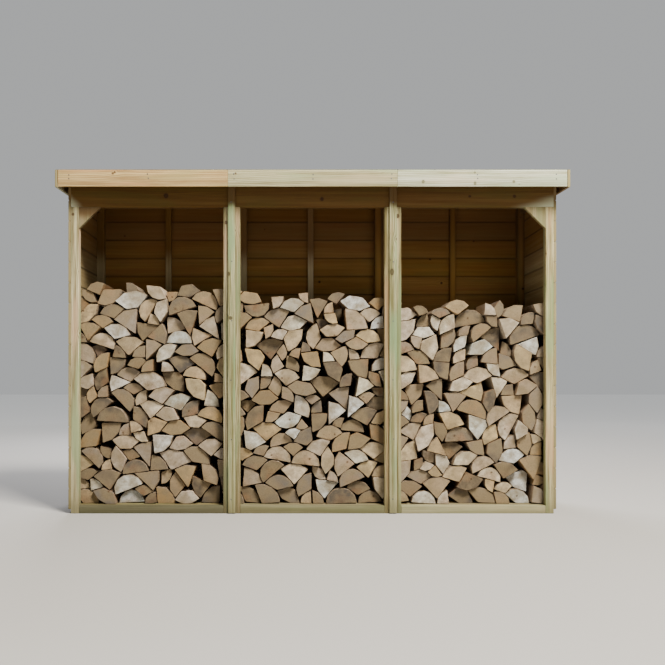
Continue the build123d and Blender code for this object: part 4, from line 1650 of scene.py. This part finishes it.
@dataclass
class Nails:
    """Round nail heads, flush to the faces that they hold.

    Board rows are the heights above each board's seam. Side insets are from the front, the back
    and the top of a side, and fascia insets are from the ends, the bottom and the top of a board.
    The felt's broad-headed nails are centred at felt_grip of its thickness.
    """

    finishes: Finishes
    radius: float = 3.8 * MM
    height: float = 0.5 * MM
    sides: int = 10
    wander: float = 3 * MM
    board_rows: tuple[float, float] = (28 * MM, 88 * MM)
    back_inset: float = 20 * MM
    side_insets: tuple[float, float, float] = (22 * MM, 36 * MM, 60 * MM)
    strip_start: float = 80 * MM
    strip_pitch: float = 330 * MM
    fascia_insets: tuple[float, float, float] = (12 * MM, 44 * MM, 26 * MM)
    felt_inset: float = 22 * MM
    felt_nails: tuple[int, int] = (29, 9)
    clout_radius: float = 5.0 * MM
    clout_sides: int = 12
    felt_grip: float = 0.8

    def heads(self, places: Array, axis: int, sign: float) -> list[Patch]:
        """Low domes at the given places.

        Each head is a rim, a raised ring at 0.72 of the radius and a middle, closed underneath.

        Args:
            places: Centres on the timber's face.
            axis: Axis that the face looks along.
            sign: Direction along it.

        Returns:
            One surface for each head.
        """
        n = self.sides
        turn = TURN * np.arange(n) / n
        circle = np.stack([np.cos(turn), np.sin(turn)], axis=1)
        others = [i for i in range(3) if i != axis]
        quads = np.concatenate([band(n, 0, n), band(n, n, 2 * n)])
        fans = np.concatenate([fan(n, 2 * n, 3 * n), fan(n, 0, 3 * n + 1)[:, [1, 0, 2]]])
        head = np.zeros((3 * n + 2, 3))
        for row, (share, lift) in enumerate(((1.0, -1.0), (1.0, 0.55), (0.72, 1.0))):
            head[row * n : (row + 1) * n, others] = circle * self.radius * share
            head[row * n : (row + 1) * n, axis] = sign * self.height * lift
        head[3 * n :, axis] = (sign * self.height, -sign * self.height)
        return [Patch.unmarked(head + place, quads, fans).outward() for place in places]

    def grid(
        self,
        x: Iterable[float],
        y: Iterable[float],
        z: Iterable[float],
        rng: np.random.Generator,
        free: Sequence[int],
    ) -> Array:
        """Places at every combination of x, y and z, each moved a little along the free axes.

        Args:
            x: Places across.
            y: Places from front to back.
            z: Heights.
            rng: Source of the small moves.
            free: Axes that a nail may wander along.

        Returns:
            One place for each nail.
        """
        places = np.array([(a, b, c) for a in x for b in y for c in z], float)
        for axis in free:
            places[:, axis] += rng.uniform(-self.wander, self.wander, len(places))
        return places

    def rows_on(self, low: Array, high: Array, cover: float, inset: float) -> Array:
        """Heights of the nails in a panel's boards.

        Args:
            low: Lowest corner of the panel.
            high: Its highest corner.
            cover: Cover of its boards.
            inset: Room at the top that stays free of nails.

        Returns:
            One height for each row of nails.
        """
        seams = np.arange(low[2], high[2] - cover / 2, cover)
        rows = np.concatenate([seams + row for row in self.board_rows])
        return rows[rows < high[2] - inset]

    def build(self, walls: Walls, roof: Roof) -> None:
        """Nail the cladding, the cover strips, the roof's edge boards and the felt.

        Args:
            walls: The walls, for the boards' cover.
            roof: The roof, for the room left over its edge boards' faces.
        """
        rng = np.random.default_rng(16)
        patches: list[Patch] = []
        studs, rafters = (
            [solid.mean(axis=0)[0] for node in nodes for solid in solids_of(node)]
            for nodes in (("rear_studs", "rear_mid_studs"), ("rafters",))
        )
        for bay in BAYS:
            low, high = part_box(f"rear_boards_{bay}")
            mine = [x for x in studs if low[0] < x < high[0]]
            rows = self.rows_on(low, high, walls.cover, self.back_inset)
            patches += self.heads(self.grid(mine, [high[1]], rows, rng, (0, 2)), 1, 1.0)
        front, back, top = self.side_insets
        for side, sign in SIDES.items():
            low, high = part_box(f"side_boards_{side}")
            face = high[0] if sign > 0 else low[0]
            columns = [low[1] + front, high[1] - back]
            rows = self.rows_on(low, high, walls.cover, top)
            patches += self.heads(self.grid([face], columns, rows, rng, (1, 2)), 0, sign)
        for solid in solids_of("cover_strips"):
            low, high = extents(solid)
            rows = np.arange(low[2] + self.strip_start, high[2], self.strip_pitch)
            places = self.grid([(low[0] + high[0]) / 2], [low[1]], rows, rng, (0, 2))
            patches += self.heads(places, 1, -1.0)
        ends, bottom, top = self.fascia_insets
        for node, sign in (*((f"fascia_{bay}", -1.0) for bay in BAYS), ("rear_fascia", 1.0)):
            low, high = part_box(node)
            face = high[1] - roof.nail_room if sign > 0 else low[1] + roof.nail_room
            mine = [x for x in rafters if low[0] + ends < x < high[0] - ends]
            rows = [low[2] + bottom, high[2] - top]
            patches += self.heads(self.grid(mine, [face], rows, rng, (0, 2)), 1, sign)
        low, high = extents(solids_of("roof_felt")[0], sloped=True)
        columns, rows = (
            np.linspace(low[k] + self.felt_inset, high[k] - self.felt_inset, self.felt_nails[k])
            for k in (0, 1)
        )
        long_edges = self.grid(columns, [rows[0], rows[-1]], [0.0], rng, (0, 1))
        verges = self.grid([columns[0], columns[-1]], rows[1:-1], [0.0], rng, (0, 1))
        places = np.concatenate([long_edges, verges])
        places[:, 2] = low[2] + self.felt_grip * (high[2] - low[2])
        clouts = Nails(self.finishes, radius=self.clout_radius, sides=self.clout_sides)
        patches += clouts.heads(sheared(places), 2, 1.0)
        make_piece("nail_heads", patches, self.finishes.nails, FRAMING, sharp_degrees=60.0)


# Studio


@dataclass
class Studio:
    """Pale floor, soft light and a camera at the photograph's viewing angle."""

    camera_at: Point = (-0.080, -4.900, 0.740)
    sensor: float = 36.0
    lens: float = 44.6
    shift: tuple[float, float] = (0.0519, 0.0729)
    floor_half: float = 40.0
    floor_colour: str = "#BDBBB6"
    backdrop_colour: str = "#E9EBEC"
    surroundings: float = 0.14
    backdrop: float = 0.55

    def floor(self) -> None:
        """Lay a wide level floor under the store, which brightens into the backdrop far away."""
        half = self.floor_half
        mesh = bpy.data.meshes.new("studio_floor")
        corners = [(-half, -half, 0.0), (half, -half, 0.0), (half, half, 0.0), (-half, half, 0.0)]
        mesh.from_pydata(corners, [], [(0, 1, 2, 3)])
        nodes = Nodes(bpy.data.materials.new("studio_floor"))
        place = nodes.add("TexCoord", out="Object")
        away = nodes.add("VectorMath LENGTH", (place,), "Value")
        glow = nodes.add("MapRange SMOOTHSTEP", (away, 1.8, 11.0, 0.0, self.backdrop))
        paint = {"Base Color": self.floor_colour, "Roughness": 0.9}
        light = {"Emission Color": self.backdrop_colour, "Emission Strength": glow}
        mesh.materials.append(nodes.surface({**paint, **light}))
        piece = bpy.data.objects.new("studio_floor", mesh)
        bpy.context.scene.collection.objects.link(piece)

    def light(
        self, name: str, at: Point, target: Point, size: float, watts: float, tint: str
    ) -> None:
        """Hang a square soft light.

        Args:
            name: Name of the light.
            at: Where it hangs.
            target: What it looks at.
            size: Length of its side.
            watts: Its power.
            tint: Its colour.
        """
        data = bpy.data.lights.new(name, "AREA")
        data.shape, data.size, data.energy, data.color = "SQUARE", size, watts, linear(tint)[:3]
        lamp = bpy.data.objects.new(name, data)
        lamp.location = at
        lamp.rotation_euler = (Vector(target) - Vector(at)).to_track_quat("-Z", "Y").to_euler()
        bpy.context.scene.collection.objects.link(lamp)

    def build(self) -> None:
        """Set the floor, the lights, the surroundings and the camera."""
        self.floor()
        self.light("key", (2.9, -4.9, 7.5), (0.0, -0.2, 0.8), 2.4, 1820.0, "#FFF8EE")
        self.light("fill", (3.4, -6.6, 3.0), (0.0, 0.2, 1.2), 3.0, 40.0, "#FFF9F0")
        self.light("back", (-1.0, 5.0, 5.0), (0.0, 0.2, 0.9), 3.0, 460.0, "#F8F8FF")
        world = bpy.data.worlds.new("studio")
        nodes = Nodes(world)
        seen = nodes.add("LightPath", out="Is Camera Ray")
        glow = nodes.add("MapRange", (seen, 0.0, 1.0, self.surroundings, self.backdrop))
        sky = nodes.add("Background", {"Color": self.backdrop_colour, "Strength": glow})
        nodes.add("OutputWorld", {"Surface": sky})
        bpy.context.scene.world = world

        data = bpy.data.cameras.new("camera")
        data.sensor_width, data.lens = self.sensor, self.lens
        data.shift_x, data.shift_y = self.shift
        camera = bpy.data.objects.new("camera", data)
        camera.location = self.camera_at
        camera.rotation_euler = (math.radians(90), 0.0, 0.0)
        bpy.context.scene.collection.objects.link(camera)
        bpy.context.scene.camera = camera


def main() -> None:
    """Build the store, then the studio."""
    logging.basicConfig(level=logging.INFO, format="%(message)s")
    finishes = Finishes()
    walls, roof = Walls(finishes), Roof(finishes)
    for part in (FrontFrames(finishes), walls, Floor(finishes), roof, Firewood(finishes)):
        log.info("building %s", type(part).__name__)
        part.build()
    Nails(finishes).build(walls, roof)
    Studio().build()


if __name__ == "__main__":
    main()
